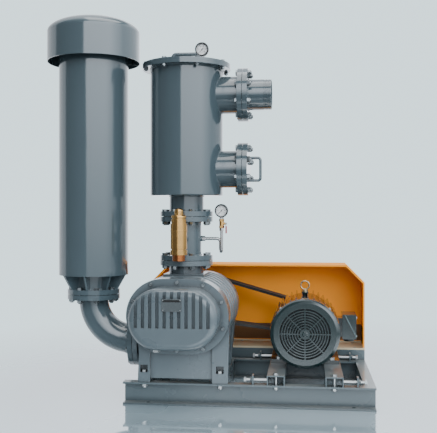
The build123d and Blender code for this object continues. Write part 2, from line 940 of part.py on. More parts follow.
def drive_timing_gear():
    return timing_gear(drive_x, 180 / gear_teeth)


def driven_timing_gear():
    return timing_gear(driven_x, 0)


# Belt drive ------------------------------------------------------------------------------

def pulley(pitch_diameter, bore, x, z):
    # V-groove pulley on a split hub, turned about the shaft axis.
    slope = tan(radians(groove_half_angle))
    top = pitch_diameter / 2 + belt_top_line
    rim = top + 1
    floor_radius = top - belt_height - 2.5
    floor_half = belt_width / 2 - (top - floor_radius) * slope + rotor_gap
    top_half = floor_half + (rim - floor_radius) * slope
    outline = [(bore / 2 + running_gap, -pulley_width / 2), (rim, -pulley_width / 2)]
    for number in range(belt_count):
        centre = (number - (belt_count - 1) / 2) * belt_pitch
        outline += [
            (rim, centre - top_half),
            (floor_radius, centre - floor_half),
            (floor_radius, centre + floor_half),
            (rim, centre + top_half),
        ]
    outline += [(rim, pulley_width / 2), (bore / 2 + running_gap, pulley_width / 2)]
    wheel = turned(outline, (x, belt_y, z), (0, 1, 0))
    web_outer = pitch_diameter / 2 - belt_height - 12
    web_inner = bore / 2 + 22
    if web_outer - web_inner > 12:
        recess = turned(
            [(web_inner, 0), (web_outer, 0), (web_outer, 26), (web_inner, 26)],
            (x, pulley_front, z), (0, 1, 0),
        )
        wheel -= recess
        wheel -= Pos(0, pulley_width - 26, 0) * recess
    return wheel


def pump_pulley():
    return pulley(pump_pulley_pitch, drive_end, drive_x, shaft_height)


def motor_pulley():
    return pulley(motor_pulley_pitch, motor_shaft, motor_x, motor_z)


def belt_loop():
    # Pitch line round both pulleys, drawn in (X, Z).
    start = Vector(drive_x, shaft_height)
    span = Vector(motor_x, motor_z) - start
    big = pump_pulley_pitch / 2
    small = motor_pulley_pitch / 2
    lean = asin((big - small) / span.length)
    along = span.normalized()
    side = Vector(-along.Y, along.X)
    touch_up = side * cos(lean) + along * sin(lean)
    touch_down = side * -cos(lean) + along * sin(lean)
    end = start + span
    upper = Line(start + touch_up * big, end + touch_up * small)
    nose = ThreePointArc(end + touch_up * small, end + along * small, end + touch_down * small)
    lower = Line(end + touch_down * small, start + touch_down * big)
    tail = ThreePointArc(start + touch_down * big, start - along * big, start + touch_up * big)
    return Wire([upper, nose, lower, tail])


def v_belts():
    # Wedge section, narrow towards the pulleys, swept round the pitch line.
    plane = Plane(origin=(0, belt_y, 0), x_dir=(1, 0, 0), z_dir=(0, -1, 0)).location
    path = plane * belt_loop()
    narrow = belt_width / 2 - belt_height * tan(radians(groove_half_angle))
    low = belt_top_line - belt_height
    wedge = polygon(
        (-belt_width / 2, belt_top_line), (belt_width / 2, belt_top_line), (narrow, low), (-narrow, low)
    )
    loop = sweep(Plane(origin=path @ 0, x_dir=(0, 1, 0), z_dir=path % 0) * wedge, path=path)
    middle = (belt_count - 1) / 2
    return group([Pos(0, (number - middle) * belt_pitch, 0) * loop for number in range(belt_count)])


# Inlet line ------------------------------------------------------------------------------

def at_port(z):
    return (pump_x, port_y, z)


def inlet_spool():
    # Straight pipe between two flanges with stubs for the relief valve and the gauge siphon.
    stub_end = relief_union_face()
    centre = at_port(branch_height)
    boss_end = (pump_x + pipe_diameter / 2 + siphon_boss_reach, port_y, branch_height)
    spool = rod(pipe_diameter, at_port(spool_bottom), at_port(spool_top))
    spool += rod(relief_branch + 2 * relief_wall, stub_end, centre)
    spool += rod(siphon_boss, centre, boss_end)
    spool -= rod(pipe_diameter - 2 * pipe_wall, at_port(spool_bottom), at_port(spool_top))
    spool -= rod(relief_branch, stub_end, centre)
    spool -= rod(siphon_tube - 2 * siphon_wall, centre, boss_end)
    spool += flange(at_port(spool_bottom), (0, 0, 1), port_bore)
    return spool + flange(at_port(spool_top - flange_thickness), (0, 0, 1), port_bore)


def at_relief(z):
    return (relief_x, relief_y, z)


def relief_union_face():
    # Point on the line from the valve axis to the spool axis where the two screw together.
    start = Vector(*at_relief(branch_height))
    way = (Vector(*at_port(branch_height)) - start).normalized()
    return tuple(start + way * relief_reach)


def relief_valve_body():
    # Turned brass body over its foot, with a side branch that screws to the spool stub.
    half = relief_body / 2
    foot_top = relief_low + foot_rise
    collar_top = foot_top + collar_height
    neck_top = collar_top + neck_height
    bead_low = branch_height + bead_rise
    body = turned([
        (0, relief_low), (relief_foot / 2, relief_low), (relief_foot / 2, foot_top),
        (relief_collar / 2, foot_top), (relief_collar / 2, collar_top),
        (half - neck_depth, collar_top), (half - neck_depth, neck_top),
        (half, neck_top), (half, bead_low), (half + bead_proud, bead_low),
        (half + bead_proud, bead_low + bead), (half, bead_low + bead), (half, relief_rim), (0, relief_rim),
    ], at_relief(0))
    centre = at_relief(branch_height)
    union = relief_union_face()
    body += rod(relief_branch + 2 * relief_wall, centre, union)
    body -= rod(relief_inlet, at_relief(relief_low), at_relief(relief_seat))
    body -= rod(relief_body - 2 * relief_wall, at_relief(relief_seat), at_relief(relief_rim))
    return body - rod(relief_branch, centre, union)


def relief_valve_bonnet():
    # Spring housing with a rounded shoulder, a groove round it and a domed cap nut on top.
    half = relief_bonnet / 2
    spigot = relief_rim - bonnet_spigot
    band = relief_rim + bonnet_band_rise
    bonnet = turned([
        (0, relief_rim), (half, relief_rim), (half, band), (half - neck_depth, band),
        (half - neck_depth, band + neck_height), (half, band + neck_height), (half, relief_crown), (0, relief_crown),
    ], at_relief(0))
    bonnet = fillet(bonnet.edges().group_by(Axis.Z)[-1], bonnet_corner)
    cap = rod(cap_nut_diameter, at_relief(relief_crown), at_relief(relief_top))
    cap = fillet(cap.edges().group_by(Axis.Z)[-1], cap_nut_corner)
    bonnet += cap + Pos(*at_relief(relief_crown)) * hexagon(cap_nut_flats, cap_nut_hexagon)
    bonnet += rod(relief_body - 2 * relief_wall - 2 * running_gap, at_relief(spigot), at_relief(relief_rim))
    guide_top = relief_crown + cap_nut_height / 2
    return bonnet - rod(stem_diameter + 2 * loose_gap, at_relief(spigot), at_relief(guide_top))


def relief_valve_poppet():
    # Disc on the seat with its guide stem; the seat bore is smaller than the disc.
    disc_top = relief_seat + disc_thickness
    disc = rod(relief_inlet + 12, at_relief(relief_seat), at_relief(disc_top))
    return disc + rod(stem_diameter, at_relief(disc_top), at_relief(relief_crown))


def relief_valve_spring():
    # Compression spring as a sleeve between the poppet and the bonnet.
    inside = stem_diameter + 8
    return pipe(
        spring_diameter, inside, at_relief(relief_seat + disc_thickness), at_relief(relief_rim - bonnet_spigot)
    )


def siphon_path():
    # From the spool boss to the right, down into a trap, forward, and up to the gauge valve.
    boss_end = pump_x + pipe_diameter / 2 + siphon_boss_reach
    points = [
        (boss_end, port_y, branch_height),
        (valve_x - siphon_lean, port_y, branch_height),
        (valve_x - siphon_lean, port_y, siphon_low),
        (valve_x, valve_y, siphon_low),
        (valve_x, valve_y, valve_bottom),
    ]
    return FilletPolyline(*points, radius=siphon_trap / 2 - loose_gap)


def gauge_siphon():
    path = siphon_path()
    return swept_round(siphon_tube, path) - swept_round(siphon_tube - 2 * siphon_wall, path)


def at_valve(z):
    return (valve_x, valve_y, z)


def ball_valve_body():
    # Brass body with hexagon ends; the ball lies in its chamber and the stem leaves at +X.
    middle = (valve_bottom + valve_top) / 2
    grip = valve_length / 4
    neck = (valve_x + valve_neck, valve_y, middle)
    body = rod(valve_hexagon + 1, at_valve(valve_bottom + grip), at_valve(valve_top - grip))
    body += Pos(*at_valve(valve_bottom)) * hexagon(valve_hexagon, grip)
    body += Pos(*at_valve(valve_top - grip)) * hexagon(valve_hexagon, grip)
    body += rod(2 * valve_stem + 2, at_valve(middle), neck)
    body -= rod(valve_bore, at_valve(valve_bottom), at_valve(valve_top))
    body -= Pos(*at_valve(middle)) * Sphere(valve_ball / 2 + rotor_gap)
    return body - rod(valve_stem + 2 * rotor_gap, at_valve(middle), neck)


def ball_valve_lever():
    # Ball, stem and flat lever, hanging down beside the valve while it is open.
    middle = (valve_bottom + valve_top) / 2
    near = valve_x + valve_neck + 1
    tip = near + 2 * lever_plate
    lever = Pos(*at_valve(middle)) * Sphere(valve_ball / 2)
    lever += rod(valve_stem, at_valve(middle), (tip, valve_y, middle))
    lever -= rod(valve_bore - 1, at_valve(middle - valve_ball), at_valve(middle + valve_ball))
    half = lever_width / 2
    plate = (near, near + lever_plate)
    lever += block(plate, (valve_y - half, valve_y + half), (middle - lever_head, middle + half))
    lever += block((near, tip), (valve_y - half, valve_y + half), (middle - lever_length, middle - lever_head))
    return lever + rod(pivot_nut, (near, valve_y, middle), (tip + 1, valve_y, middle))


def gauge_spots():
    # Centre of each dial's back face, and the height its stem starts from.
    line = ((valve_x, valve_y + gauge_depth / 2, line_gauge_z), valve_top)
    lid_spot = (pump_x + lid_gauge_x, port_y + lid_gauge_y + gauge_depth / 2, lid_gauge_z)
    return (line, (lid_spot, lid_top))


def gauge_cases():
    # Round cases facing the front, each with its stem, dial floor and pivot hole.
    cases = []
    outer = gauge_diameter / 2
    for (x, y, z), foot in gauge_spots():
        case = turned([
            (0, 0), (outer - 3, 0), (outer - 1, 2), (outer - 1, gauge_depth - 8), (outer, gauge_depth - 7),
            (outer, gauge_depth), (outer - 4, gauge_depth), (outer - 4, gauge_depth - dial_depth),
            (0, gauge_depth - dial_depth),
        ], (x, y, z), (0, -1, 0))
        stem_y = y - gauge_depth / 2
        stem = rod(gauge_stem, (x, stem_y, foot), (x, stem_y, z - outer + 3.5))
        nut = Pos(x, stem_y, foot) * hexagon(17, z - outer - foot)
        dial = y - gauge_depth + dial_depth
        hole = rod(needle_pivot + 2 * running_gap, (x, dial + 6, z), (x, dial, z))
        cases.append(case + stem + nut - hole)
    return group(cases)


def gauge_needle(spot):
    # Pointer with its pivot, just in front of the dial.
    x, y, z = spot
    dial = y - gauge_depth + dial_depth
    plane = Plane(origin=(x, dial - 1.6, z), x_dir=(1, 0, 0), z_dir=(0, -1, 0)).location
    start = radians(225)
    reach = gauge_diameter / 2 - 9
    point = (reach * cos(start), reach * sin(start))
    tail = (-8 * cos(start), -8 * sin(start))
    side = (1.6 * sin(start), -1.6 * cos(start))
    blade = polygon(point, (tail[0] + side[0], tail[1] + side[1]), (tail[0] - side[0], tail[1] - side[1]))
    needle = plane * extrude(blade, amount=0.8)
    needle += plane * Cylinder(3, 1.2, align=upward)
    return needle + rod(needle_pivot, (x, dial + 5, z), (x, dial - 1.6, z))


def line_gauge_needle():
    return gauge_needle(gauge_spots()[0][0])


def lid_gauge_needle():
    return gauge_needle(gauge_spots()[1][0])


def gauge_lenses():
    lenses = []
    for (x, y, z), foot in gauge_spots():
        face = y - gauge_depth
        lenses.append(rod(gauge_diameter - 8 - 2 * running_gap, (x, face + 3, z), (x, face + 1, z)))
    return group(lenses)


def filter_vessel():
    # Thin-walled vessel: neck and flange below, bolting ring above, two flanged side necks.
    radius = vessel_diameter / 2
    outer = turned([(0, vessel_bottom), (radius, vessel_bottom), (radius, vessel_top), (0, vessel_top)], at_port(0))
    outer = fillet(outer.edges().group_by(Axis.Z)[0], vessel_corner)
    outer += rod(neck_diameter, at_port(vessel_flange + flange_thickness), at_port(vessel_bottom + vessel_corner))
    side_x = pump_x + nozzle_reach - flange_thickness
    for height in (nozzle_lower, nozzle_upper):
        z = vessel_bottom + height
        outer += rod(side_neck_diameter, at_port(z), (side_x, port_y, z))
    inner_radius = radius - vessel_wall
    hollow = rod(2 * inner_radius, at_port(vessel_bottom + vessel_wall), at_port(vessel_top))
    hollow = fillet(hollow.edges().group_by(Axis.Z)[0], vessel_corner - vessel_wall)
    vessel = outer - hollow
    vessel -= rod(neck_diameter - 2 * pipe_wall, at_port(vessel_flange), at_port(vessel_bottom + vessel_corner))
    for height in (nozzle_lower, nozzle_upper):
        z = vessel_bottom + height
        vessel -= rod(side_neck_diameter - 2 * pipe_wall, at_port(z), (side_x, port_y, z))
        vessel += flange((side_x, port_y, z), (1, 0, 0), port_bore)
    ring = pipe(ring_diameter, 2 * inner_radius, at_port(vessel_top), at_port(lid_bottom))
    drill = Cylinder(lid_bolt / 2 + bolt_gap, ring_thickness, align=upward)
    ring -= placed(drill, at_port(vessel_top), (0, 0, 1), lid_spots())
    return vessel + ring + flange(at_port(vessel_flange), (0, 0, 1), port_bore)


def vessel_lid():
    lid = rod(ring_diameter, at_port(lid_bottom), at_port(lid_top))
    drill = Cylinder(lid_bolt / 2 + bolt_gap, lid_thickness, align=upward)
    lid -= placed(drill, at_port(lid_bottom), (0, 0, 1), lid_spots())
    return lid + rod(lid_pad, at_port(lid_top), at_port(lid_top + lid_pad_rise))


def bar_handle(width, height, bar):
    # Round-bar U handle standing on z=0, its legs along X.
    half = (width - bar) / 2
    top = height - bar / 2
    path = FilletPolyline((-half, 0, 0), (-half, 0, top), (half, 0, top), (half, 0, 0), radius=0.9 * bar)
    return swept_round(bar, path)


def cover_handles():
    lid_handle = Pos(*at_port(lid_top)) * bar_handle(handle_width, handle_height, handle_bar)
    face = pump_x + nozzle_reach + gasket + flange_thickness
    spot = Plane(origin=(face, port_y, vessel_bottom + nozzle_lower), x_dir=(0, 0, 1), z_dir=(1, 0, 0))
    return group([lid_handle, spot.location * bar_handle(grip_width, grip_reach, grip_bar)])


def filter_cartridge():
    # Round filter element on the vessel floor, with a collar over the outlet and end caps.
    floor_z = vessel_bottom + vessel_wall
    inside = neck_diameter - 4 * pipe_wall
    body_low = floor_z + cartridge_cap
    body_high = vessel_top - cartridge_drop
    body = pipe(cartridge_diameter, inside, at_port(body_low), at_port(body_high))
    body += pipe(cartridge_end, inside, at_port(floor_z), at_port(body_low))
    return body + rod(cartridge_end, at_port(body_high), at_port(body_high + cartridge_cap))


def nipple_start():
    return pump_x + nozzle_reach + gasket


def suction_nipple():
    # Flanged hose nipple with ring grooves near its open end.
    z = vessel_bottom + nozzle_upper
    start = nipple_start()
    outer = nipple_diameter / 2
    inner = outer - pipe_wall
    end = flange_thickness + nipple_length
    first = end - nipple_grooves * nipple_groove_pitch
    outline = [(inner, 0), (outer, 0)]
    for number in range(nipple_grooves):
        groove = first + number * nipple_groove_pitch
        groove_end = groove + nipple_groove_width
        outline += [
            (outer, groove),
            (outer - nipple_groove_depth, groove),
            (outer - nipple_groove_depth, groove_end),
            (outer, groove_end),
        ]
    outline += [(outer, end), (inner, end)]
    nipple = turned(outline, (start, port_y, z), (1, 0, 0))
    return nipple + flange((start, port_y, z), (1, 0, 0), 2 * inner)


def inspection_cover():
    return flange((nipple_start(), port_y, vessel_bottom + nozzle_lower), (1, 0, 0), 0)


def flange_gaskets():
    upper = vessel_bottom + nozzle_upper
    lower = vessel_bottom + nozzle_lower
    side_x = pump_x + nozzle_reach
    return group([
        gasket_ring(at_port(spool_bottom - gasket), (0, 0, 1)),
        gasket_ring(at_port(spool_top), (0, 0, 1)),
        gasket_ring((side_x, port_y, upper), (1, 0, 0)),
        gasket_ring((side_x, port_y, lower), (1, 0, 0)),
        gasket_ring((elbow_end_x, port_y, discharge_height), (1, 0, 0)),
        gasket_ring((silencer_x, port_y, elbow_top + flange_thickness), (0, 0, 1)),
    ])


def flange_bolts():
    # Bolts with nuts of the six flange joints.
    upper = vessel_bottom + nozzle_upper
    lower = vessel_bottom + nozzle_lower
    side_x = pump_x + nozzle_reach - flange_thickness
    bolts = joint_bolts(at_port(top_flange_height + joint_grip), (0, 0, -1))
    bolts += joint_bolts(at_port(spool_top + gasket + flange_thickness), (0, 0, -1))
    for z in (lower, upper):
        bolts += joint_bolts((side_x, port_y, z), (1, 0, 0))
    screw = hex_bolt(flange_bolt, joint_grip - 0.3 * flange_bolt - 1, nut=0)
    bolts += placed(screw, (elbow_end_x - flange_thickness, port_y, discharge_height), (1, 0, 0), flange_spots())
    bolts += joint_bolts((silencer_x, port_y, silencer_flange + flange_thickness), (0, 0, -1))
    return group(bolts)


# Discharge line --------------------------------------------------------------------------

def discharge_elbow():
    # Right-angle bend between a level and an upright flange.
    start = (silencer_x, port_y, elbow_top + flange_thickness)
    corner = (silencer_x, port_y, discharge_height)
    end = (elbow_end_x, port_y, discharge_height)
    path = FilletPolyline(start, corner, end, radius=elbow_radius)
    elbow = swept_round(pipe_diameter, path)
    elbow += flange((silencer_x, port_y, elbow_top), (0, 0, 1), 0)
    elbow += flange((elbow_end_x - flange_thickness, port_y, discharge_height), (1, 0, 0), 0)
    return elbow - swept_round(pipe_diameter - 2 * pipe_wall, path)


def silencer_axis(z):
    return (silencer_x, port_y, z)


def silencer_shell():
    # Open-topped shell with a floor, a neck, a flange and upright gussets.
    radius = silencer_diameter / 2
    inside = silencer_diameter - 2 * silencer_wall
    floor_top = silencer_bottom + silencer_floor
    low = silencer_flange + flange_thickness
    shell = pipe(silencer_diameter, inside, silencer_axis(silencer_bottom), silencer_axis(silencer_top))
    shell += rod(silencer_diameter, silencer_axis(silencer_bottom), silencer_axis(floor_top))
    shell += rod(neck_diameter, silencer_axis(low), silencer_axis(silencer_bottom))
    plate = polygon((0, low), (gusset_foot, low), (radius - gusset_edge, silencer_bottom), (0, silencer_bottom))
    gusset = across(plate, -gusset_thickness / 2, gusset_thickness / 2)
    centre = Pos(silencer_x, port_y, 0)
    shell += [centre * Rot(0, 0, place * 360 / gusset_count) * gusset for place in range(gusset_count)]
    shell -= rod(neck_diameter - 2 * pipe_wall, silencer_axis(low), silencer_axis(floor_top))
    return shell + flange(silencer_axis(silencer_flange), (0, 0, 1), port_bore)


def silencer_cap():
    # Dished rain cap, open below, on four flat struts.
    outer = cap_diameter / 2
    inner = outer - silencer_wall
    rise = cap_top - cap_corner
    edges = [
        Line((outer, cap_bottom), (outer, cap_corner)),
        EllipticalCenterArc((0, cap_corner), outer, rise, start_angle=0, arc_size=90),
        Line((0, cap_top), (0, cap_top - silencer_wall)),
        EllipticalCenterArc((0, cap_corner), inner, rise - silencer_wall, start_angle=0, arc_size=90),
        Line((inner, cap_corner), (inner, cap_bottom)),
        Line((inner, cap_bottom), (outer, cap_bottom)),
    ]
    dome = Pos(silencer_x, port_y, 0) * revolve(Plane.XZ * make_face(edges), Axis.Z)
    reach = (silencer_diameter / 2, inner + silencer_wall / 2)
    strut_top = silencer_top - strut_thickness
    strut = block(reach, (-strut_thickness / 2, strut_thickness / 2), (strut_top - strut_height, strut_top))
    struts = [Pos(silencer_x, port_y, 0) * Rot(0, 0, 45 + 90 * place) * strut for place in range(4)]
    knob = rod(2 * cap_knob, silencer_axis(cap_top - silencer_wall / 2), silencer_axis(cap_top + cap_knob))
    return dome + struts + fillet(knob.edges().group_by(Axis.Z)[-1], cap_knob / 3)


def silencer_core():
    # Inner sound tube on a foot ring that stands on the silencer floor.
    low = silencer_bottom + silencer_floor
    bore = sound_tube - 2 * silencer_wall
    foot_diameter = silencer_diameter - 2 * silencer_wall - 2 * loose_gap
    foot = pipe(foot_diameter, bore, silencer_axis(low), silencer_axis(low + silencer_wall))
    return foot + pipe(sound_tube, bore, silencer_axis(low), silencer_axis(silencer_top - sound_tube_drop))


# Motor -----------------------------------------------------------------------------------

def motor_rails():
    # Two inverted channels, open at the ends, slotted for nothing but drilled for their bolts.
    rails = []
    for x in rail_centres:
        half = rail_width / 2
        ends = (front, front + rail_length - loose_gap)
        rail = block((x - half, x + half), ends, (deck, rail_top))
        rail -= block((x - half + rail_wall, x + half - rail_wall), ends, (deck, rail_top - rail_wall))
        for y in rail_bolt_ys:
            rail -= rod(rail_bolt + 2 * bolt_gap, (x, y, rail_top - rail_wall), (x, y, rail_top))
        for y in motor_foot_ys:
            rail -= rod(rail_bolt + 2 * bolt_gap, (x, y, rail_top - rail_wall), (x, y, rail_top))
        rails.append(rail)
    return group(rails)


def motor_bolts():
    # Hold-down bolts of the rails and bolts of the motor feet.
    hold = hex_bolt(rail_bolt, rail_height + beam_lip)
    foot = hex_bolt(rail_bolt, foot_thickness + rail_wall)
    down = (0, 0, -1)
    bolts = [Plane(origin=(x, y, rail_top), z_dir=down).location * hold for x in rail_centres for y in rail_bolt_ys]
    foot_top = rail_top + foot_thickness
    bolts += [Plane(origin=(x, y, foot_top), z_dir=down).location * foot for x in rail_centres for y in motor_foot_ys]
    return group(bolts)


def screw_sides():
    # Rail outer face and outward direction at each side.
    return ((rail_centres[0] - rail_width / 2, -1), (rail_centres[1] + rail_width / 2, 1))


def tension_screws():
    # Level screws that push the rails; each bears on the rail wall and passes its bracket.
    screws = []
    length = bracket_gap + bracket_thickness + screw_tail
    for face, side in screw_sides():
        for y in bracket_ys:
            start = (face, y, screw_height)
            end = (face + side * length, y, screw_height)
            head = Plane(origin=end, z_dir=(side, 0, 0)).location * hexagon(1.5 * screw_size, screw_head)
            screws.append(rod(screw_size, start, end) + head)
    return group(screws)


def tension_brackets():
    # Upright plates on the base with the lock nuts of the screws.
    pieces = []
    clear = screw_size + 2 * loose_gap
    for face, side in screw_sides():
        for y in bracket_ys:
            near = face + side * bracket_gap
            far = near + side * bracket_thickness
            low, high = min(near, far), max(near, far)
            half = bracket_width / 2
            plate = block((low, high), (y - half, y + half), (deck, deck + bracket_height))
            face_plane = Plane(origin=(far, y, screw_height), z_dir=(side, 0, 0))
            nut = face_plane.location * hexagon(1.5 * screw_size, screw_nut)
            bracket = plate + nut - rod(clear, (near, y, screw_height), (far + side * screw_nut, y, screw_height))
            pieces.append(bracket)
    return group(pieces)


def at_motor(y):
    return (motor_x, y, motor_z)


def round_motor(item, count, start=0):
    # Copies of an item drawn on the +X side, turned about the motor axis.
    upright = Plane(origin=(motor_x, 0, motor_z), x_dir=(1, 0, 0), z_dir=(0, 1, 0)).location
    return [upright * Rot(0, 0, start + place * 360 / count) * item for place in range(count)]


def motor_frame():
    # Finned barrel with two foot pads, a seat for the terminal box and a boss for the eyebolt.
    barrel = rod(frame_diameter, at_motor(frame_front), at_motor(frame_end))
    fin_half = fin_thickness / 2
    fin_root = frame_diameter / 2 - 4
    fin = block((fin_root, fin_diameter / 2), (-fin_half, fin_half), (frame_front, frame_end - fin_margin))
    barrel += round_motor(fin, fin_count, 180 / fin_count)
    middle = sum(motor_foot_ys) / 2
    pad_half = (foot_pitch_y + foot_pad_margin) / 2
    pad_y = (middle - pad_half, middle + pad_half)
    for x in rail_centres:
        side = 1 if x < motor_x else -1
        outer = x - side * foot_pad_outer
        inner = x + side * foot_pad_inner
        post = x + side * foot_pad_inner / 4
        barrel += block((min(outer, inner), max(outer, inner)), pad_y, (rail_top, rail_top + foot_thickness))
        barrel += block((min(post, inner), max(post, inner)), pad_y, (rail_top, motor_z - frame_diameter / 4))
        for y in motor_foot_ys:
            barrel -= rod(rail_bolt + 2 * bolt_gap, (x, y, rail_top), (x, y, rail_top + foot_thickness))
    seat_half = box_seat / 2
    seat_x = (motor_x + frame_diameter / 2 - fin_margin, box_inner)
    seat_z = (motor_z - seat_half, motor_z + seat_half)
    barrel += block(seat_x, (box_y - seat_half, box_y + seat_half), seat_z)
    barrel += rod(eye_boss, (motor_x, eye_y, motor_z + stator_bore / 2), (motor_x, eye_y, eye_seat))
    return barrel - rod(stator_bore, at_motor(frame_front), at_motor(frame_end))


def motor_end_shields():
    # Front and rear shields, each a dished disc that carries a bearing.
    shaft_bore = motor_shaft + 8 + 2 * running_gap
    rim = frame_diameter / 2 - shield_step
    spigot = stator_bore / 2 - rotor_gap
    seat = shield_thickness - spigot_depth
    hub = hub_diameter / 2
    front_shield = turned([
        (shaft_bore / 2, -8), (hub, -8), (hub + 8, 0), (rim, 0), (rim, seat), (spigot, seat),
        (spigot, shield_thickness), (shaft_bore / 2, shield_thickness),
    ], at_motor(frame_front - seat), (0, 1, 0))
    rear_shield = turned([
        (shaft_bore / 2, -spigot_depth), (spigot, -spigot_depth), (spigot, 0), (frame_diameter / 2, 0),
        (frame_diameter / 2, 10), (2 * hub, shield_thickness), (hub + 6, shield_thickness),
        (hub, hub_length), (shaft_bore / 2, hub_length),
    ], at_motor(frame_end), (0, 1, 0))
    reach = fan_cover_diameter / 2 - cowl_wall - rotor_gap
    lug = block((rim - shield_step, reach), (-8, 8), (frame_front - seat, frame_front))
    front_shield += round_motor(lug, 4, 45)
    return group([front_shield, rear_shield])


def fan_cover():
    # Sheet cowl with a rounded shoulder and a grille of rings and spokes round a hub plate.
    outer = fan_cover_diameter / 2
    cowl = turned([
        (outer, fan_cover_length), (outer, cowl_shoulder), (outer - 6, 5), (outer - 16, 0), (grille_radius, 0),
        (grille_radius, grille_depth), (outer - 17, grille_depth), (outer - 8, 8),
        (outer - cowl_wall, cowl_shoulder + 1), (outer - cowl_wall, fan_cover_length),
    ], at_motor(fan_face), (0, 1, 0))
    first = grille_hub + grille_pitch - grille_bar
    for number in range(grille_rings):
        inside = 2 * (first + number * grille_pitch)
        cowl += pipe(inside + 2 * grille_bar, inside, at_motor(fan_face + 0.5), at_motor(fan_face + grille_depth))
    spoke_half = grille_bar / 2
    spoke_y = (fan_face + 0.2, fan_face + grille_depth)
    spoke = block((grille_hub - 1, grille_radius + 1), (-spoke_half, spoke_half), spoke_y)
    cowl += round_motor(spoke, grille_spokes)
    boss = grille_hub / 2
    hub = [(0, -2), (boss - 3, -2), (boss + 1, 1), (grille_hub, 1), (grille_hub, grille_depth), (0, grille_depth)]
    return cowl + turned(hub, at_motor(fan_face), (0, 1, 0))


def motor_rotor():
    # Laminated rotor core on the motor shaft, which runs from the fan to the pulley.
    core_middle = (frame_front + frame_end) / 2
    core = rod(rotor_diameter, at_motor(core_middle - stator_length / 2), at_motor(core_middle + stator_length / 2))
    bearing_end = frame_end + hub_length - 1
    core += rod(motor_shaft + 8, at_motor(fan_shaft_end), at_motor(bearing_end))
    core += rod(motor_shaft, at_motor(bearing_end), at_motor(pulley_back))
    return core + rod(fan_shaft, at_motor(fan_y - 2), at_motor(fan_shaft_end))


def motor_fan():
    # Radial fan of straight blades on a backing disc, behind the grille.
    disc_y = fan_y + blade_depth - 1
    fan_end = disc_y + fan_disc
    fan = rod(fan_diameter - 6, at_motor(disc_y), at_motor(fan_end)) + rod(fan_hub, at_motor(fan_y), at_motor(fan_end))
    blade = block((fan_hub / 2 - 1, fan_diameter / 2), (-fan_disc / 2, fan_disc / 2), (fan_y, fan_y + blade_depth))
    fan += round_motor(blade, fan_blades)
    return fan - rod(fan_shaft + 2 * running_gap, at_motor(fan_y), at_motor(fan_end))


def motor_stator():
    # Stator core with winding overhangs at both ends.
    core_middle = (frame_front + frame_end) / 2
    half = stator_length / 2
    inside = rotor_diameter + 2 * loose_gap
    core = pipe(stator_bore - 2 * rotor_gap, inside, at_motor(core_middle - half), at_motor(core_middle + half))
    for side in (-1, 1):
        start = core_middle + side * half
        core += pipe(winding_diameter, inside + 14, at_motor(start), at_motor(start + side * winding_length))
    return core


def box_profile(lid):
    # Terminal box in (X, Z), parted along a slant from upper left to lower right.
    middle = motor_z + box_rise
    low, high = middle - box_height / 2, middle + box_height / 2
    left, right = box_inner, box_inner + box_width
    if lid:
        return polygon((left + lid_step, high), (right, high), (right, low + lid_step))
    return polygon((left, low), (right, low), (right, low + lid_step), (left + lid_step, high), (left, high))


def terminal_box():
    body = across(box_profile(False), box_y - box_length / 2, box_y + box_length / 2)
    low = motor_z + box_rise - box_height / 2
    gland_x = box_inner + box_width / 2
    entry_low = (gland_x, box_y, low - entry_drop)
    body += rod(cable_entry + 2 * entry_wall, entry_low, (gland_x, box_y, low + 2))
    return body - rod(cable_entry, entry_low, (gland_x, box_y, low + entry_depth))


def terminal_lid():
    reach = box_length / 2 + lid_edge
    return across(box_profile(True), box_y - reach, box_y + reach)


def eyebolt():
    # Lifting eye with a round ring on a collar.
    collar_top = eye_seat + eye_collar_height
    ring = Torus(eye_diameter / 2 - eye_bar / 2, eye_bar / 2)
    eye = Pos(motor_x, eye_y, collar_top + 1 + eye_diameter / 2) * Rot(90, 0, 0) * ring
    eye += rod(eye_collar, (motor_x, eye_y, eye_seat), (motor_x, eye_y, collar_top))
    return eye + rod(eye_shank, (motor_x, eye_y, collar_top), (motor_x, eye_y, collar_top + eye_bar / 2))


# Output ----------------------------------------------------------------------------------

pieces = [
    base_front_beam, base_rear_beam, base_cross_beams, guard_pedestal, belt_guard,
    pump_casing, pump_front_plate, pump_rear_plate, gear_cover, nameplate, cover_bolts,
    pump_foot_bolts, oil_drain_plug, pump_bearings, shaft_seals, rear_bearing_covers,
    drive_rotor, driven_rotor, drive_timing_gear, driven_timing_gear, pump_pulley, v_belts,
    inlet_spool, flange_gaskets, flange_bolts, relief_valve_body, relief_valve_bonnet,
    relief_valve_poppet, relief_valve_spring, gauge_siphon, ball_valve_body, ball_valve_lever,
    gauge_cases, line_gauge_needle, lid_gauge_needle, gauge_lenses, filter_vessel, vessel_lid,
    cover_handles, filter_cartridge, suction_nipple, inspection_cover, discharge_elbow,
    silencer_shell, silencer_cap, silencer_core, motor_rails, motor_bolts, tension_screws,
    tension_brackets, motor_frame, motor_end_shields, fan_cover, motor_rotor, motor_fan,
    motor_pulley, motor_stator, terminal_box, terminal_lid, eyebolt,
]

os.makedirs("parts", exist_ok=True)
for piece in pieces:
    export_step(piece(), f"parts/{piece.__name__}.step")
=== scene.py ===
from math import atan2, cos, hypot, pi, radians, sin

import bmesh
import bpy
from mathutils import Matrix, Vector


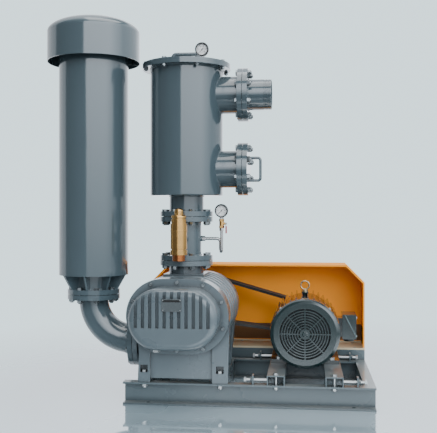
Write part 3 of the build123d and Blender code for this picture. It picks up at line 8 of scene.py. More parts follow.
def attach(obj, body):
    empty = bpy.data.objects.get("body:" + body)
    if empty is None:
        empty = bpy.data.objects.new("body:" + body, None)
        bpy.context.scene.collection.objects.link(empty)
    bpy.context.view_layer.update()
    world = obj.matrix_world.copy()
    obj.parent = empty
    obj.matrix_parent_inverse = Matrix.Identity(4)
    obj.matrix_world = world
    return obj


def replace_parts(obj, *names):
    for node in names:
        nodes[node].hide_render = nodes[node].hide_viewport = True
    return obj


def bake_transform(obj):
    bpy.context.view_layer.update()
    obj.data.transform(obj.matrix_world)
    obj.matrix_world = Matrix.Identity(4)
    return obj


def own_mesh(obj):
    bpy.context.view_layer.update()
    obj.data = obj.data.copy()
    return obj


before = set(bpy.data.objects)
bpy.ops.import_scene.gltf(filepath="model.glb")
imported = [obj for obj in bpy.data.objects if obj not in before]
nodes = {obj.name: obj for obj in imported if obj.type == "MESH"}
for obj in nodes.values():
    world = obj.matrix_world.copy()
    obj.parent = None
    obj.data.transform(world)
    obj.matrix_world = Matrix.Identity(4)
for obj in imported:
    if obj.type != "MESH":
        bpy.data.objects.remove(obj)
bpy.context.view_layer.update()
print("frame loaded:", len(nodes), "nodes")


# camera: level, 6.6 degrees to the right of straight on

cameraSettings = {
    "place": (0.2432, -3.697, 0.839), "look": (-0.11494, 0.99337, 0.0), "lens": 61.46,
    "sensor": 36, "reach": 200,
}

camera = bpy.data.objects.new("camera", bpy.data.cameras.new("camera"))
bpy.context.scene.collection.objects.link(camera)
camera.data.lens = cameraSettings["lens"]
camera.data.sensor_width = cameraSettings["sensor"]
camera.data.clip_end = cameraSettings["reach"]
camera.location = cameraSettings["place"]
camera.rotation_euler = Vector(cameraSettings["look"]).to_track_quat("-Z", "Y").to_euler()
bpy.context.scene.camera = camera
print("camera set")


# shader nodes

def newGroup(name, inputs, outputs):
    # inputs are (label, default) numbers, outputs are (label, kind of socket)
    tree = bpy.data.node_groups.new(name, "ShaderNodeTree")
    for label, value in inputs:
        socket = tree.interface.new_socket(label, in_out="INPUT", socket_type="NodeSocketFloat")
        socket.default_value = value
    for label, kind in outputs:
        tree.interface.new_socket(label, in_out="OUTPUT", socket_type=kind)
    return tree, tree.nodes.new("NodeGroupInput"), tree.nodes.new("NodeGroupOutput")


def addNode(tree, kind, **values):
    node = tree.nodes.new(kind)
    for label, value in values.items():
        setattr(node, label, value)
    return node


def objectPlace(tree):
    return addNode(tree, "ShaderNodeTexCoord").outputs["Object"]


def splitVector(tree, vector):
    split = addNode(tree, "ShaderNodeSeparateXYZ")
    tree.links.new(vector, split.inputs[0])
    return split.outputs


def mathNode(tree, operation, first, second=None):
    node = addNode(tree, "ShaderNodeMath", operation=operation)
    for index, value in enumerate((first, second)):
        if value is None:
            continue
        if isinstance(value, (int, float)):
            node.inputs[index].default_value = value
        else:
            tree.links.new(value, node.inputs[index])
    return node.outputs[0]


def noiseNode(tree, vector, scale, detail=3.0, stretch=None):
    if stretch:
        mapping = addNode(tree, "ShaderNodeMapping")
        mapping.inputs["Scale"].default_value = stretch
        tree.links.new(vector, mapping.inputs["Vector"])
        vector = mapping.outputs[0]
    noise = addNode(tree, "ShaderNodeTexNoise")
    noise.inputs["Scale"].default_value = scale
    noise.inputs["Detail"].default_value = detail
    tree.links.new(vector, noise.inputs["Vector"])
    return noise.outputs["Fac"]


def rangeNode(tree, value, low, high, start=0.0, end=1.0):
    node = addNode(tree, "ShaderNodeMapRange")
    tree.links.new(value, node.inputs["Value"])
    limits = {"From Min": low, "From Max": high, "To Min": start, "To Max": end}
    for label, number in limits.items():
        node.inputs[label].default_value = number
    return node.outputs[0]


def mixColour(tree, factor, first, second):
    # first and second are a link or a colour
    node = addNode(tree, "ShaderNodeMix", data_type="RGBA")
    tree.links.new(factor, node.inputs[0])
    for socket, value in ((node.inputs[6], first), (node.inputs[7], second)):
        if isinstance(value, tuple):
            socket.default_value = (*value, 1)
        else:
            tree.links.new(value, socket)
    return node.outputs[2]


def scaleColour(tree, colour, factor):
    node = addNode(tree, "ShaderNodeVectorMath", operation="SCALE")
    node.inputs[0].default_value = colour
    tree.links.new(factor, node.inputs["Scale"])
    return node.outputs[0]


# node groups

wearSettings = {"samples": 4, "patchScale": 60, "patches": (0.45, 0.65), "sharpness": (0.97, 0.75)}


def makeEdgeWear():
    # rubbed arrises, from the difference between a rounded and the true normal
    tree, given, out = newGroup(
        "edgeWear", [("Radius", 0.002), ("Amount", 0.5)],
        [("Mask", "NodeSocketFloat"), ("Normal", "NodeSocketVector")])
    soft = addNode(tree, "ShaderNodeBevel", samples=wearSettings["samples"])
    tree.links.new(given.outputs["Radius"], soft.inputs["Radius"])
    geometry = addNode(tree, "ShaderNodeNewGeometry")
    dot = addNode(tree, "ShaderNodeVectorMath", operation="DOT_PRODUCT")
    tree.links.new(soft.outputs[0], dot.inputs[0])
    tree.links.new(geometry.outputs["Normal"], dot.inputs[1])
    noise = noiseNode(tree, objectPlace(tree), wearSettings["patchScale"])
    patches = rangeNode(tree, noise, *wearSettings["patches"])
    edge = rangeNode(tree, dot.outputs["Value"], *wearSettings["sharpness"])
    worn = mathNode(tree, "MULTIPLY", edge, patches)
    mask = mathNode(tree, "MULTIPLY", worn, given.outputs["Amount"])
    tree.links.new(mask, out.inputs["Mask"])
    tree.links.new(soft.outputs[0], out.inputs["Normal"])
    return tree


dustSettings = {
    "scale": 9.0, "tilt": (0.35, 1.0), "cloud": (0.35, 0.7), "least": 0.35,
    "tint": (0.42, 0.40, 0.36), "dulls": 0.4,
}


def makeDust():
    # pale dust that settles on faces turned up
    tree, given, out = newGroup(
        "dust", [("Amount", 0.3), ("Scale", dustSettings["scale"])], [("Mask", "NodeSocketFloat")])
    geometry = addNode(tree, "ShaderNodeNewGeometry")
    normal = splitVector(tree, geometry.outputs["Normal"])
    up = rangeNode(tree, normal["Z"], *dustSettings["tilt"])
    noise = addNode(tree, "ShaderNodeTexNoise")
    tree.links.new(objectPlace(tree), noise.inputs["Vector"])
    tree.links.new(given.outputs["Scale"], noise.inputs["Scale"])
    cloud = rangeNode(tree, noise.outputs["Fac"], *dustSettings["cloud"], dustSettings["least"])
    settled = mathNode(tree, "MULTIPLY", up, cloud)
    mask = mathNode(tree, "MULTIPLY", settled, given.outputs["Amount"])
    tree.links.new(mask, out.inputs["Mask"])
    return tree


grainSettings = {"fineDetail": 5, "wideDetail": 4}


def makeSurfaceGrain():
    # cloudy tone and fine relief: cast skin when coarse, sprayed enamel when fine
    tree, given, out = newGroup(
        "surfaceGrain", [("Scale", 300.0), ("Tone", 0.1), ("Cloud", 5.0)],
        [("Shade", "NodeSocketFloat"), ("Relief", "NodeSocketFloat"), ("Gloss", "NodeSocketFloat")])
    place = objectPlace(tree)
    fine = addNode(tree, "ShaderNodeTexNoise")
    fine.inputs["Detail"].default_value = grainSettings["fineDetail"]
    wide = addNode(tree, "ShaderNodeTexNoise")
    wide.inputs["Detail"].default_value = grainSettings["wideDetail"]
    for noise, label in ((fine, "Scale"), (wide, "Cloud")):
        tree.links.new(place, noise.inputs["Vector"])
        tree.links.new(given.outputs[label], noise.inputs["Scale"])
    drift = mathNode(tree, "SUBTRACT", wide.outputs["Fac"], 0.5)
    shade = mathNode(tree, "ADD", 1.0, mathNode(tree, "MULTIPLY", drift, given.outputs["Tone"]))
    tree.links.new(shade, out.inputs["Shade"])
    tree.links.new(fine.outputs["Fac"], out.inputs["Relief"])
    tree.links.new(wide.outputs["Fac"], out.inputs["Gloss"])
    return tree


# painted shade in grooves and inner corners; tint is its near-black colour
pocketShadeSettings = {"samples": 8, "reach": 0.03, "open": (0.95, 0.35), "tint": (0.008, 0.01, 0.011)}


def makePocketShade():
    # painted shade: near-black darkening in grooves and inner corners, found by ambient occlusion
    tree, given, out = newGroup(
        "pocketShade", [("Reach", 0.02), ("Amount", 0.5)], [("Mask", "NodeSocketFloat")])
    near = addNode(tree, "ShaderNodeAmbientOcclusion", samples=pocketShadeSettings["samples"])
    tree.links.new(given.outputs["Reach"], near.inputs["Distance"])
    shadedHollow = rangeNode(tree, near.outputs["AO"], *pocketShadeSettings["open"])
    mask = mathNode(tree, "MULTIPLY", shadedHollow, given.outputs["Amount"])
    tree.links.new(mask, out.inputs["Mask"])
    return tree


edgeWear, dust = makeEdgeWear(), makeDust()
surfaceGrain, pocketShade = makeSurfaceGrain(), makePocketShade()
print("node groups built")


# finishes

def useGroup(tree, group, **values):
    node = tree.nodes.new("ShaderNodeGroup")
    node.node_tree = group
    for label, value in values.items():
        node.inputs[label].default_value = value
    return node.outputs


def boxMask(tree, low, high, soft=0.0005):
    # 1 inside the box given; None leaves a side open
    place = splitVector(tree, objectPlace(tree))
    mask = None
    for axis in range(3):
        for limit, way in ((low[axis], 1), (high[axis], -1)):
            if limit is None:
                continue
            side = rangeNode(tree, place[axis], limit - way * soft, limit + way * soft)
            mask = side if mask is None else mathNode(tree, "MULTIPLY", mask, side)
    return mask


rippleSettings = {"scale": 26, "detail": 4, "stretch": (1, 1, 0.07), "height": 0.01}


def addRipple(tree, shader, strength):
    # rolled sheet is never quite true: long upright waves break the reflections in its gloss
    wave = addNode(tree, "ShaderNodeBump")
    wave.inputs["Strength"].default_value = strength
    wave.inputs["Distance"].default_value = rippleSettings["height"]
    noise = noiseNode(tree, objectPlace(tree), rippleSettings["scale"], rippleSettings["detail"],
                      rippleSettings["stretch"])
    tree.links.new(noise, wave.inputs["Height"])
    tree.links.new(wave.outputs[0], shader.inputs["Coat Normal"])


skinSettings = {"glossSpread": (0.2, 0.8), "coatRoughness": 0.08, "reliefHeight": 0.001}


def makeFinish(name, settings):
    material = bpy.data.materials.new(name)
    material.use_nodes = True
    tree = material.node_tree
    shader = tree.nodes["Principled BSDF"]
    grain = useGroup(tree, surfaceGrain, Scale=settings["grain"], Tone=settings["tone"],
                     Cloud=settings["cloud"])
    wear = useGroup(tree, edgeWear, Radius=settings["edge"], Amount=settings["wear"])
    cover = useGroup(tree, dust, Amount=settings["dust"])

    colour = scaleColour(tree, settings["colour"], grain["Shade"])
    colour = mixColour(tree, wear["Mask"], colour, settings["under"])
    # painted shade: near-black colour mixed into grooves and inner corners
    if "pocketShade" in settings:
        shadedHollow = useGroup(tree, pocketShade, Reach=pocketShadeSettings["reach"], Amount=settings["pocketShade"])
        colour = mixColour(tree, shadedHollow["Mask"], colour, pocketShadeSettings["tint"])
    colour = mixColour(tree, cover["Mask"], colour, dustSettings["tint"])
    # bands are boxes of another colour; on the guard they are painted light and painted shadow
    for low, high, tint in settings.get("bands", ()):
        colour = mixColour(tree, boxMask(tree, low, high), colour, tint)
    tree.links.new(colour, shader.inputs["Base Color"])

    gloss = rangeNode(tree, grain["Gloss"], *skinSettings["glossSpread"], *settings["roughness"])
    dulled = mathNode(tree, "MULTIPLY", cover["Mask"], dustSettings["dulls"])
    tree.links.new(mathNode(tree, "ADD", gloss, dulled), shader.inputs["Roughness"])

    shader.inputs["Metallic"].default_value = settings["metal"]
    if "brassAbove" in settings:
        brass = boxMask(tree, (None, None, settings["brassAbove"]), (None, None, None))
        tree.links.new(brass, shader.inputs["Metallic"])
    shader.inputs["Specular IOR Level"].default_value = settings.get("specular", 0.5)
    shader.inputs["Coat Weight"].default_value = settings["coat"]
    shader.inputs["Coat Roughness"].default_value = skinSettings["coatRoughness"]

    bump = addNode(tree, "ShaderNodeBump")
    bump.inputs["Strength"].default_value = settings["relief"]
    bump.inputs["Distance"].default_value = skinSettings["reliefHeight"]
    tree.links.new(grain["Relief"], bump.inputs["Height"])
    tree.links.new(wear["Normal"], bump.inputs["Normal"])
    tree.links.new(bump.outputs[0], shader.inputs["Normal"])
    if "ripple" in settings:
        addRipple(tree, shader, settings["ripple"])
    return material


# bands are boxes of another colour: (low corner, high corner, tint)
finishSettings = {
    "enamel": dict(
        colour=(0.066, 0.094, 0.107), under=(0.22, 0.26, 0.27), roughness=(0.1, 0.17), metal=0.0,
        coat=0.9, grain=55.0, tone=0.12, cloud=2.0, relief=0.03, edge=0.0015, wear=0.3, dust=0.08,
        ripple=0.1),
    "castEnamel": dict(
        colour=(0.1, 0.128, 0.142), under=(0.32, 0.36, 0.37), roughness=(0.22, 0.36), metal=0.0,
        coat=0.5, grain=420.0, tone=0.25, cloud=7.0, relief=0.22, edge=0.003, wear=0.5, dust=0.12,
        pocketShade=0.8),
    "baseEnamel": dict(
        colour=(0.075, 0.103, 0.114), under=(0.3, 0.34, 0.35), roughness=(0.2, 0.36), metal=0.0,
        coat=0.4, grain=180.0, tone=0.3, cloud=6.0, relief=0.12, edge=0.002, wear=0.6, dust=0.4,
        pocketShade=0.6),
    "motorEnamel": dict(
        colour=(0.006, 0.02, 0.021), under=(0.2, 0.27, 0.27), roughness=(0.14, 0.24), metal=0.0,
        coat=0.9, grain=350.0, tone=0.3, cloud=8.0, relief=0.12, edge=0.002, wear=0.5, dust=0.08,
        pocketShade=0.7),
    "guardEnamel": dict(
        colour=(1.0, 0.35, 0.02), under=(0.85, 0.36, 0.05), roughness=(0.6, 0.72), metal=0.0,
        coat=0.0, specular=0.2, grain=90.0, tone=0.25, cloud=3.0, relief=0.08, edge=0.003,
        wear=0.5, dust=0.0,
        # cream floor of the guard below z 0.162: painted light falling on the upward floor, partly
        # dust
        bands=(((-0.563, None, None), (0.548, 0.428, 0.162), (0.62, 0.53, 0.36)),
               # dark brown strip on the lower back panel, z 0.165 to 0.252: painted shadow
               ((-0.563, 0.22, 0.165), (0.548, 0.428, 0.252), (0.17, 0.085, 0.035)))),
    "zincPlate": dict(
        colour=(0.46, 0.48, 0.48), under=(0.8, 0.8, 0.8), roughness=(0.26, 0.4), metal=1.0,
        coat=0.0, grain=500.0, tone=0.3, cloud=40.0, relief=0.1, edge=0.001, wear=0.4, dust=0.05),
    "yellowZinc": dict(
        colour=(0.42, 0.35, 0.22), under=(0.8, 0.74, 0.6), roughness=(0.2, 0.34), metal=1.0,
        coat=0.0, grain=500.0, tone=0.4, cloud=60.0, relief=0.1, edge=0.001, wear=0.5, dust=0.05),
    "darkBolt": dict(
        colour=(0.2, 0.225, 0.235), under=(0.85, 0.87, 0.87), roughness=(0.18, 0.32), metal=0.85,
        coat=0.3, grain=500.0, tone=0.5, cloud=40.0, relief=0.1, edge=0.0012, wear=1.0, dust=0.05),
    "groundSteel": dict(
        colour=(0.5, 0.5, 0.5), under=(0.8, 0.8, 0.8), roughness=(0.2, 0.35), metal=1.0, coat=0.0,
        grain=600.0, tone=0.2, cloud=20.0, relief=0.1, edge=0.001, wear=0.5, dust=0.05),
    "greyIron": dict(
        colour=(0.12, 0.12, 0.12), under=(0.4, 0.4, 0.4), roughness=(0.4, 0.55), metal=0.8,
        coat=0.0, grain=400.0, tone=0.3, cloud=12.0, relief=0.3, edge=0.001, wear=0.5, dust=0.1),
    "turnedBrass": dict(
        colour=(0.62, 0.36, 0.12), under=(0.9, 0.66, 0.32), roughness=(0.16, 0.3), metal=1.0,
        coat=0.0, grain=500.0, tone=0.3, cloud=25.0, relief=0.1, edge=0.001, wear=0.5, dust=0.02,
        bands=(((None, None, None), (None, None, 0.665), (0.46, 0.16, 0.055)),)),
    "redVinyl": dict(
        colour=(0.4, 0.003, 0.003), under=(0.5, 0.03, 0.02), roughness=(0.45, 0.55), metal=0.0,
        coat=0.0, specular=0.25, grain=400.0, tone=0.2, cloud=60.0, relief=0.1, edge=0.001,
        wear=0.2, dust=0.0,
        bands=(((None, None, 0.795), (None, None, None), (0.5, 0.48, 0.44)),)),
    "blackRubber": dict(
        colour=(0.018, 0.017, 0.017), under=(0.08, 0.08, 0.08), roughness=(0.55, 0.7), metal=0.0,
        coat=0.0, grain=500.0, tone=0.4, cloud=20.0, relief=0.2, edge=0.001, wear=0.4, dust=0.12),
    "creamFelt": dict(
        colour=(0.62, 0.57, 0.45), under=(0.7, 0.66, 0.56), roughness=(0.8, 0.95), metal=0.0,
        coat=0.0, grain=300.0, tone=0.3, cloud=12.0, relief=0.5, edge=0.001, wear=0.2, dust=0.2),
    "statorIron": dict(
        colour=(0.2, 0.17, 0.14), under=(0.4, 0.36, 0.32), roughness=(0.4, 0.6), metal=0.7,
        coat=0.0, grain=700.0, tone=0.4, cloud=30.0, relief=0.3, edge=0.001, wear=0.3, dust=0.1),
    "blackNylon": dict(
        colour=(0.012, 0.014, 0.015), under=(0.05, 0.05, 0.05), roughness=(0.4, 0.55), metal=0.0,
        coat=0.0, grain=500.0, tone=0.3, cloud=15.0, relief=0.15, edge=0.001, wear=0.3, dust=0.1),
    "gaugeSteel": dict(
        colour=(0.5, 0.5, 0.5), under=(0.8, 0.8, 0.8), roughness=(0.14, 0.24), metal=1.0, coat=0.0,
        grain=500.0, tone=0.2, cloud=40.0, relief=0.05, edge=0.0006, wear=0.3, dust=0.02),
    "blackLacquer": dict(
        colour=(0.012, 0.012, 0.012), under=(0.1, 0.1, 0.1), roughness=(0.2, 0.3), metal=0.0,
        coat=0.4, grain=500.0, tone=0.2, cloud=60.0, relief=0.05, edge=0.0004, wear=0.2, dust=0.0),
    "dialWhite": dict(
        colour=(0.9, 0.9, 0.88), under=(0.9, 0.9, 0.9), roughness=(0.4, 0.5), metal=0.0, coat=0.0,
        grain=900.0, tone=0.05, cloud=60.0, relief=0.03, edge=0.0002, wear=0.0, dust=0.0),
    # motor paint made paler: painted highlight on the lid seam
    "lidSeamHighlight": dict(
        colour=(0.09, 0.14, 0.145), under=(0.4, 0.45, 0.45), roughness=(0.2, 0.3), metal=0.0,
        coat=0.6, grain=350.0, tone=0.2, cloud=20.0, relief=0.1, edge=0.001, wear=0.8, dust=0.05),
    "plateGrey": dict(
        colour=(0.1, 0.115, 0.12), under=(0.5, 0.5, 0.5), roughness=(0.3, 0.45), metal=0.6,
        coat=0.1, grain=1500.0, tone=0.6, cloud=160.0, relief=0.4, edge=0.0006, wear=0.8,
        dust=0.05),
    "weldBead": dict(
        colour=(0.066, 0.094, 0.107), under=(0.25, 0.29, 0.3), roughness=(0.2, 0.3), metal=0.0,
        coat=0.6, grain=130.0, tone=0.2, cloud=90.0, relief=0.9, edge=0.0006, wear=0.3, dust=0.1),
}
finishSettings["capEnamel"] = dict(
    finishSettings["enamel"], brassAbove=1.793,
    bands=(((None, None, 1.793), (None, None, None), (0.62, 0.38, 0.12)),))
finishes = {name: makeFinish(name, settings) for name, settings in finishSettings.items()}


lensSettings = {
    "colour": (0.9, 0.93, 0.95), "scale": 60, "smear": (0.3, 0.7), "roughness": (0.02, 0.12),
    "alpha": (0.03, 0.08),
}


def makeLens():
    material = bpy.data.materials.new("gaugeLens")
    material.use_nodes = True
    tree = material.node_tree
    shader = tree.nodes["Principled BSDF"]
    smear = noiseNode(tree, objectPlace(tree), lensSettings["scale"])
    for label, key in (("Roughness", "roughness"), ("Alpha", "alpha")):
        value = rangeNode(tree, smear, *lensSettings["smear"], *lensSettings[key])
        tree.links.new(value, shader.inputs[label])
    shader.inputs["Base Color"].default_value = (*lensSettings["colour"], 1)
    return material


finishes["gaugeLens"] = makeLens()

nodeFinishes = {
    "castEnamel": ("pump_casing", "pump_front_plate", "pump_rear_plate", "gear_cover",
                   "rear_bearing_covers"),
    "enamel": ("inlet_spool", "filter_vessel", "vessel_lid", "cover_handles", "suction_nipple",
               "inspection_cover", "discharge_elbow", "silencer_shell"),
    "capEnamel": ("silencer_cap",),
    "baseEnamel": ("base_front_beam", "base_rear_beam", "base_cross_beams", "guard_pedestal",
                   "motor_rails", "tension_brackets"),
    "motorEnamel": ("motor_frame", "motor_end_shields", "fan_cover", "terminal_box",
                    "terminal_lid"),
    "guardEnamel": ("belt_guard",),
    "zincPlate": ("pump_foot_bolts", "oil_drain_plug", "motor_bolts", "tension_screws"),
    "yellowZinc": ("eyebolt",),
    "darkBolt": ("cover_bolts", "flange_bolts"),
    "plateGrey": ("nameplate",),
    "groundSteel": ("drive_timing_gear", "driven_timing_gear", "pump_bearings", "motor_rotor",
                    "relief_valve_spring", "silencer_core", "gauge_siphon"),
    "greyIron": ("drive_rotor", "driven_rotor", "pump_pulley", "motor_pulley"),
    "turnedBrass": ("relief_valve_body", "relief_valve_bonnet", "relief_valve_poppet",
                    "ball_valve_body"),
    "redVinyl": ("ball_valve_lever",),
    "blackRubber": ("v_belts", "shaft_seals", "flange_gaskets"),
    "creamFelt": ("filter_cartridge",),
    "statorIron": ("motor_stator",),
    "blackNylon": ("motor_fan",),
    "gaugeSteel": ("gauge_cases",),
    "blackLacquer": ("line_gauge_needle", "lid_gauge_needle"),
    "gaugeLens": ("gauge_lenses",),
}
for finish, names in nodeFinishes.items():
    for name in names:
        data = nodes[name].data
        data.materials.clear()
        data.materials.append(finishes[finish])
print("finishes on", sum(len(names) for names in nodeFinishes.values()), "nodes")


# tools for the pieces

def addPiece(name, mesh, finishNames, body="frame", smooth=True, gap=0.000005):
    bmesh.ops.remove_doubles(mesh, verts=mesh.verts, dist=gap)
    bmesh.ops.recalc_face_normals(mesh, faces=mesh.faces)
    for face in mesh.faces:
        face.smooth = smooth
    data = bpy.data.meshes.new(name)
    mesh.to_mesh(data)
    mesh.free()
    for finish in finishNames:
        data.materials.append(finishes[finish])
    piece = bpy.data.objects.new(name, data)
    bpy.context.scene.collection.objects.link(piece)
    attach(piece, body)
    return piece


def facing(spot, way):
    # frame at the spot with its Z along the way given
    return Matrix.Translation(spot) @ Vector(way).to_track_quat("Z", "Y").to_matrix().to_4x4()


def edgesOf(verts):
    return list({edge for vert in verts for edge in vert.link_edges})


def softenEdges(mesh, edges, soft):
    bmesh.ops.bevel(mesh, geom=edges, offset=soft, offset_type="OFFSET", segments=2, profile=0.5,
                    affect="EDGES", material=-1)


def addBead(mesh, spot, way, radius, section, stretch=1.0, steps=72, sides=10):
    # ring of round section, spun about the axis through the spot
    place = facing(spot, way)
    start = Matrix.Translation((radius, 0, 0)) @ Matrix.Rotation(pi / 2, 4, "X")
    start = start @ Matrix.Diagonal((1, stretch, 1, 1))
    ring = bmesh.ops.create_circle(mesh, segments=sides, radius=section, matrix=place @ start)
    bmesh.ops.spin(mesh, geom=ring["verts"] + edgesOf(ring["verts"]), cent=spot,
                   axis=place.to_3x3() @ Vector((0, 0, 1)), angle=2 * pi, steps=steps,
                   use_merge=True)


def addHead(mesh, spot, way, size, height, segments=6, soft=0.0005, slot=0, sunk=0.0002):
    # screw or rivet head that stands on the spot, a little sunk, with its top edge eased
    place = facing(spot, way) @ Matrix.Translation((0, 0, height / 2 - sunk))
    made = bmesh.ops.create_cone(mesh, cap_ends=True, segments=segments, radius1=size,
                                 radius2=size, depth=height, matrix=place)["verts"]
    outer = place.to_3x3() @ Vector((0, 0, 1))
    tip = max(vert.co.dot(outer) for vert in made)
    topEdges = [edge for edge in edgesOf(made)
                if all(tip - vert.co.dot(outer) < sunk / 2 for vert in edge.verts)]
    for face in {face for vert in made for face in vert.link_faces}:
        face.material_index = slot
    softenEdges(mesh, topEdges, soft)


def addBar(mesh, place, size, slot=0):
    place = place @ Matrix.Diagonal((*size, 1))
    made = bmesh.ops.create_cube(mesh, size=1, matrix=place)["verts"]
    for face in {face for vert in made for face in vert.link_faces}:
        face.material_index = slot
    return made


# gauges: printed dials and dark bezels

gaugeSettings = {
    "spots": ((-0.143, -0.236, 0.866), (-0.219, -0.35, 1.595)),
    "dial": 0.0262, "dialSides": 48, "dialLift": 0.0003,
    "start": 225, "sweep": 270, "ticks": 30, "longEvery": 6, "ink": 0.0002,
    "longTick": (0.0215, 0.0052, 0.0018), "shortTick": (0.0226, 0.003, 0.0011),
    "numbers": ("0", "2", "4", "6", "8", "10"), "text": 0.0082, "textCircle": 0.0145,
    "depth": 0.009, "steps": 64, "bezel": (0.0283, 0.0032, 1.0), "band": (0.0302, 0.0012, 2.5),
    "bandBack": 0.006,
}


def addText(mesh, text, place, size, slot):
    curve = bpy.data.curves.new("figure", "FONT")
    curve.body = text
    curve.size = size
    curve.align_x = "CENTER"
    curve.align_y = "CENTER"
    figure = bpy.data.objects.new("figure", curve)
    flat = bpy.data.meshes.new_from_object(figure)
    flat.transform(place)
    before = len(mesh.faces)
    mesh.from_mesh(flat)
    for face in list(mesh.faces)[before:]:
        face.material_index = slot
    bpy.data.objects.remove(figure)
    bpy.data.curves.remove(curve)
    bpy.data.meshes.remove(flat)


def dialAngle(share):
    return radians(gaugeSettings["start"] - gaugeSettings["sweep"] * share)


def addDial(mesh, spot):
    x, y, z = spot
    ink = gaugeSettings["ink"]
    face = Matrix.Translation((x, y - gaugeSettings["dialLift"], z))
    face = face @ Matrix.Rotation(pi / 2, 4, "X")
    bmesh.ops.create_circle(mesh, cap_ends=True, segments=gaugeSettings["dialSides"],
                            radius=gaugeSettings["dial"], matrix=face)
    for tick in range(gaugeSettings["ticks"] + 1):
        long = tick % gaugeSettings["longEvery"] == 0
        reach, length, width = gaugeSettings["longTick" if long else "shortTick"]
        turn = Matrix.Rotation(dialAngle(tick / gaugeSettings["ticks"]), 4, "Z")
        place = face @ Matrix.Translation((0, 0, ink)) @ turn @ Matrix.Translation((reach, 0, 0))
        addBar(mesh, place, (length, width, ink), 1)
    last = len(gaugeSettings["numbers"]) - 1
    circle = gaugeSettings["textCircle"]
    for number, text in enumerate(gaugeSettings["numbers"]):
        angle = dialAngle(number / last)
        at = Matrix.Translation((circle * cos(angle), circle * sin(angle), 2 * ink))
        addText(mesh, text, face @ at, gaugeSettings["text"], 1)


def makeGauges():
    dials, bezels = bmesh.new(), bmesh.new()
    for spot in gaugeSettings["spots"]:
        addDial(dials, spot)
        front = Vector(spot) - Vector((0, gaugeSettings["depth"], 0))
        behind = front + Vector((0, gaugeSettings["bandBack"], 0))
        for centre, ring in ((front, "bezel"), (behind, "band")):
            addBead(bezels, centre, (0, -1, 0), *gaugeSettings[ring], gaugeSettings["steps"])
    addPiece("gaugeDials", dials, ("dialWhite", "blackLacquer"), smooth=False)
    addPiece("gaugeBezels", bezels, ("blackLacquer",))


makeGauges()
print("gauges dressed")


# weld beads of the pipework

weldSettings = {
    "section": 0.0042, "thinnest": 4, "stepsPerMetre": 1100, "fewestSteps": 24,
    # rings: (centre, axis, pipe radius)
    "rings": (
        ((-0.314, -0.195, 0.936), (0, 0, 1), 0.081), ((-0.314, -0.195, 0.863), (0, 0, 1), 0.081),
        ((-0.314, -0.195, 0.815), (0, 0, 1), 0.070), ((-0.314, -0.195, 0.658), (0, 0, 1), 0.070),
        ((-0.067, -0.195, 1.410), (1, 0, 0), 0.0875), ((-0.067, -0.195, 1.061), (1, 0, 0), 0.0875),
        ((-0.019, -0.195, 1.410), (1, 0, 0), 0.072), ((-0.314, -0.195, 1.531), (0, 0, 1), 0.172),
        ((-0.766, -0.195, 0.494), (0, 0, 1), 0.081), ((-0.766, -0.195, 0.446), (0, 0, 1), 0.070),
        ((-0.576, -0.195, 0.256), (1, 0, 0), 0.070),
        ((-0.248, -0.195, 1.556), (0, 0, 1), 0.009), ((-0.38, -0.195, 1.556), (0, 0, 1), 0.009),
        ((-0.019, -0.195, 1.008), (1, 0, 0), 0.0065), ((-0.019, -0.195, 1.114), (1, 0, 0), 0.0065),
    ),
    # upright seams of the shells: (centre of the shell, radius, length, angle)
    "seams": (
        ((-0.766, -0.195, 1.06), 0.1655, 0.99, 118), ((-0.314, -0.195, 1.233), 0.172, 0.58, 140),
    ),
    "seamSection": (0.0016, 0.006), "seamSoft": 0.0007,
}


def makeWelds():
    mesh = bmesh.new()
    for spot, way, radius in weldSettings["rings"]:
        section = min(weldSettings["section"], radius / weldSettings["thinnest"])
        steps = max(weldSettings["fewestSteps"], int(radius * weldSettings["stepsPerMetre"]))
        addBead(mesh, spot, way, radius, section, steps=steps)
    for centre, radius, length, angle in weldSettings["seams"]:
        turn = Matrix.Translation(centre) @ Matrix.Rotation(radians(angle), 4, "Z")
        bar = addBar(mesh, turn @ Matrix.Translation((radius, 0, 0)),
                     (*weldSettings["seamSection"], length))
        softenEdges(mesh, edgesOf(bar), weldSettings["seamSoft"])
    addPiece("weldBeads", mesh, ("weldBead",))


makeWelds()
print("weld beads laid")


# blank plate with a raised rim, a header bar and four rivets

plateSettings = {
    "centre": (-0.314, -0.6058, 0.465), "half": (0.041, 0.025),
    "sheet": 0.0008, "margin": 0.004, "rim": 0.0028, "rimThick": 0.0012,
    "header": 0.009, "headerThick": 0.001, "headerDrop": 0.007, "headerMargin": 0.006,
    "headerLift": 0.0003,
    "rivet": (0.0024, 0.0013, 12, 0.0006), "rivetInset": 0.004,
}


def makeNameplate():
    mesh = bmesh.new()
    centre = Vector(plateSettings["centre"])
    wide, high = plateSettings["half"]
    rim, sheet = plateSettings["rim"], plateSettings["sheet"]
    thick, inset = plateSettings["rimThick"], plateSettings["rivetInset"]

    def addPlateBar(across, outward, up, size, slot=0):
        addBar(mesh, Matrix.Translation(centre + Vector((across, -outward, up))), size, slot)

    margin = plateSettings["margin"]
    addPlateBar(0, -sheet / 2, 0, (2 * wide + margin, sheet, 2 * high + margin))
    for side in (-1, 1):
        addPlateBar(side * wide, sheet / 2, 0, (rim, thick, 2 * high + rim))
        addPlateBar(0, sheet / 2, side * high, (2 * wide - rim, thick, rim))
    headerSize = (2 * wide - plateSettings["headerMargin"], plateSettings["headerThick"],
                  plateSettings["header"])
    addPlateBar(0, plateSettings["headerLift"], high - plateSettings["headerDrop"], headerSize, 1)
    for across in (-1, 1):
        for up in (-1, 1):
            spot = centre + Vector((across * (wide - inset), 0, up * (high - inset)))
            addHead(mesh, spot, (0, -1, 0), *plateSettings["rivet"], 2)
    finishNames = ("plateGrey", "blackLacquer", "zincPlate")
    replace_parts(addPiece("blankPlate", mesh, finishNames, smooth=False), "nameplate")


makeNameplate()


# hexagon unions at the end of the siphon and under the gauge: (centre, way, length)

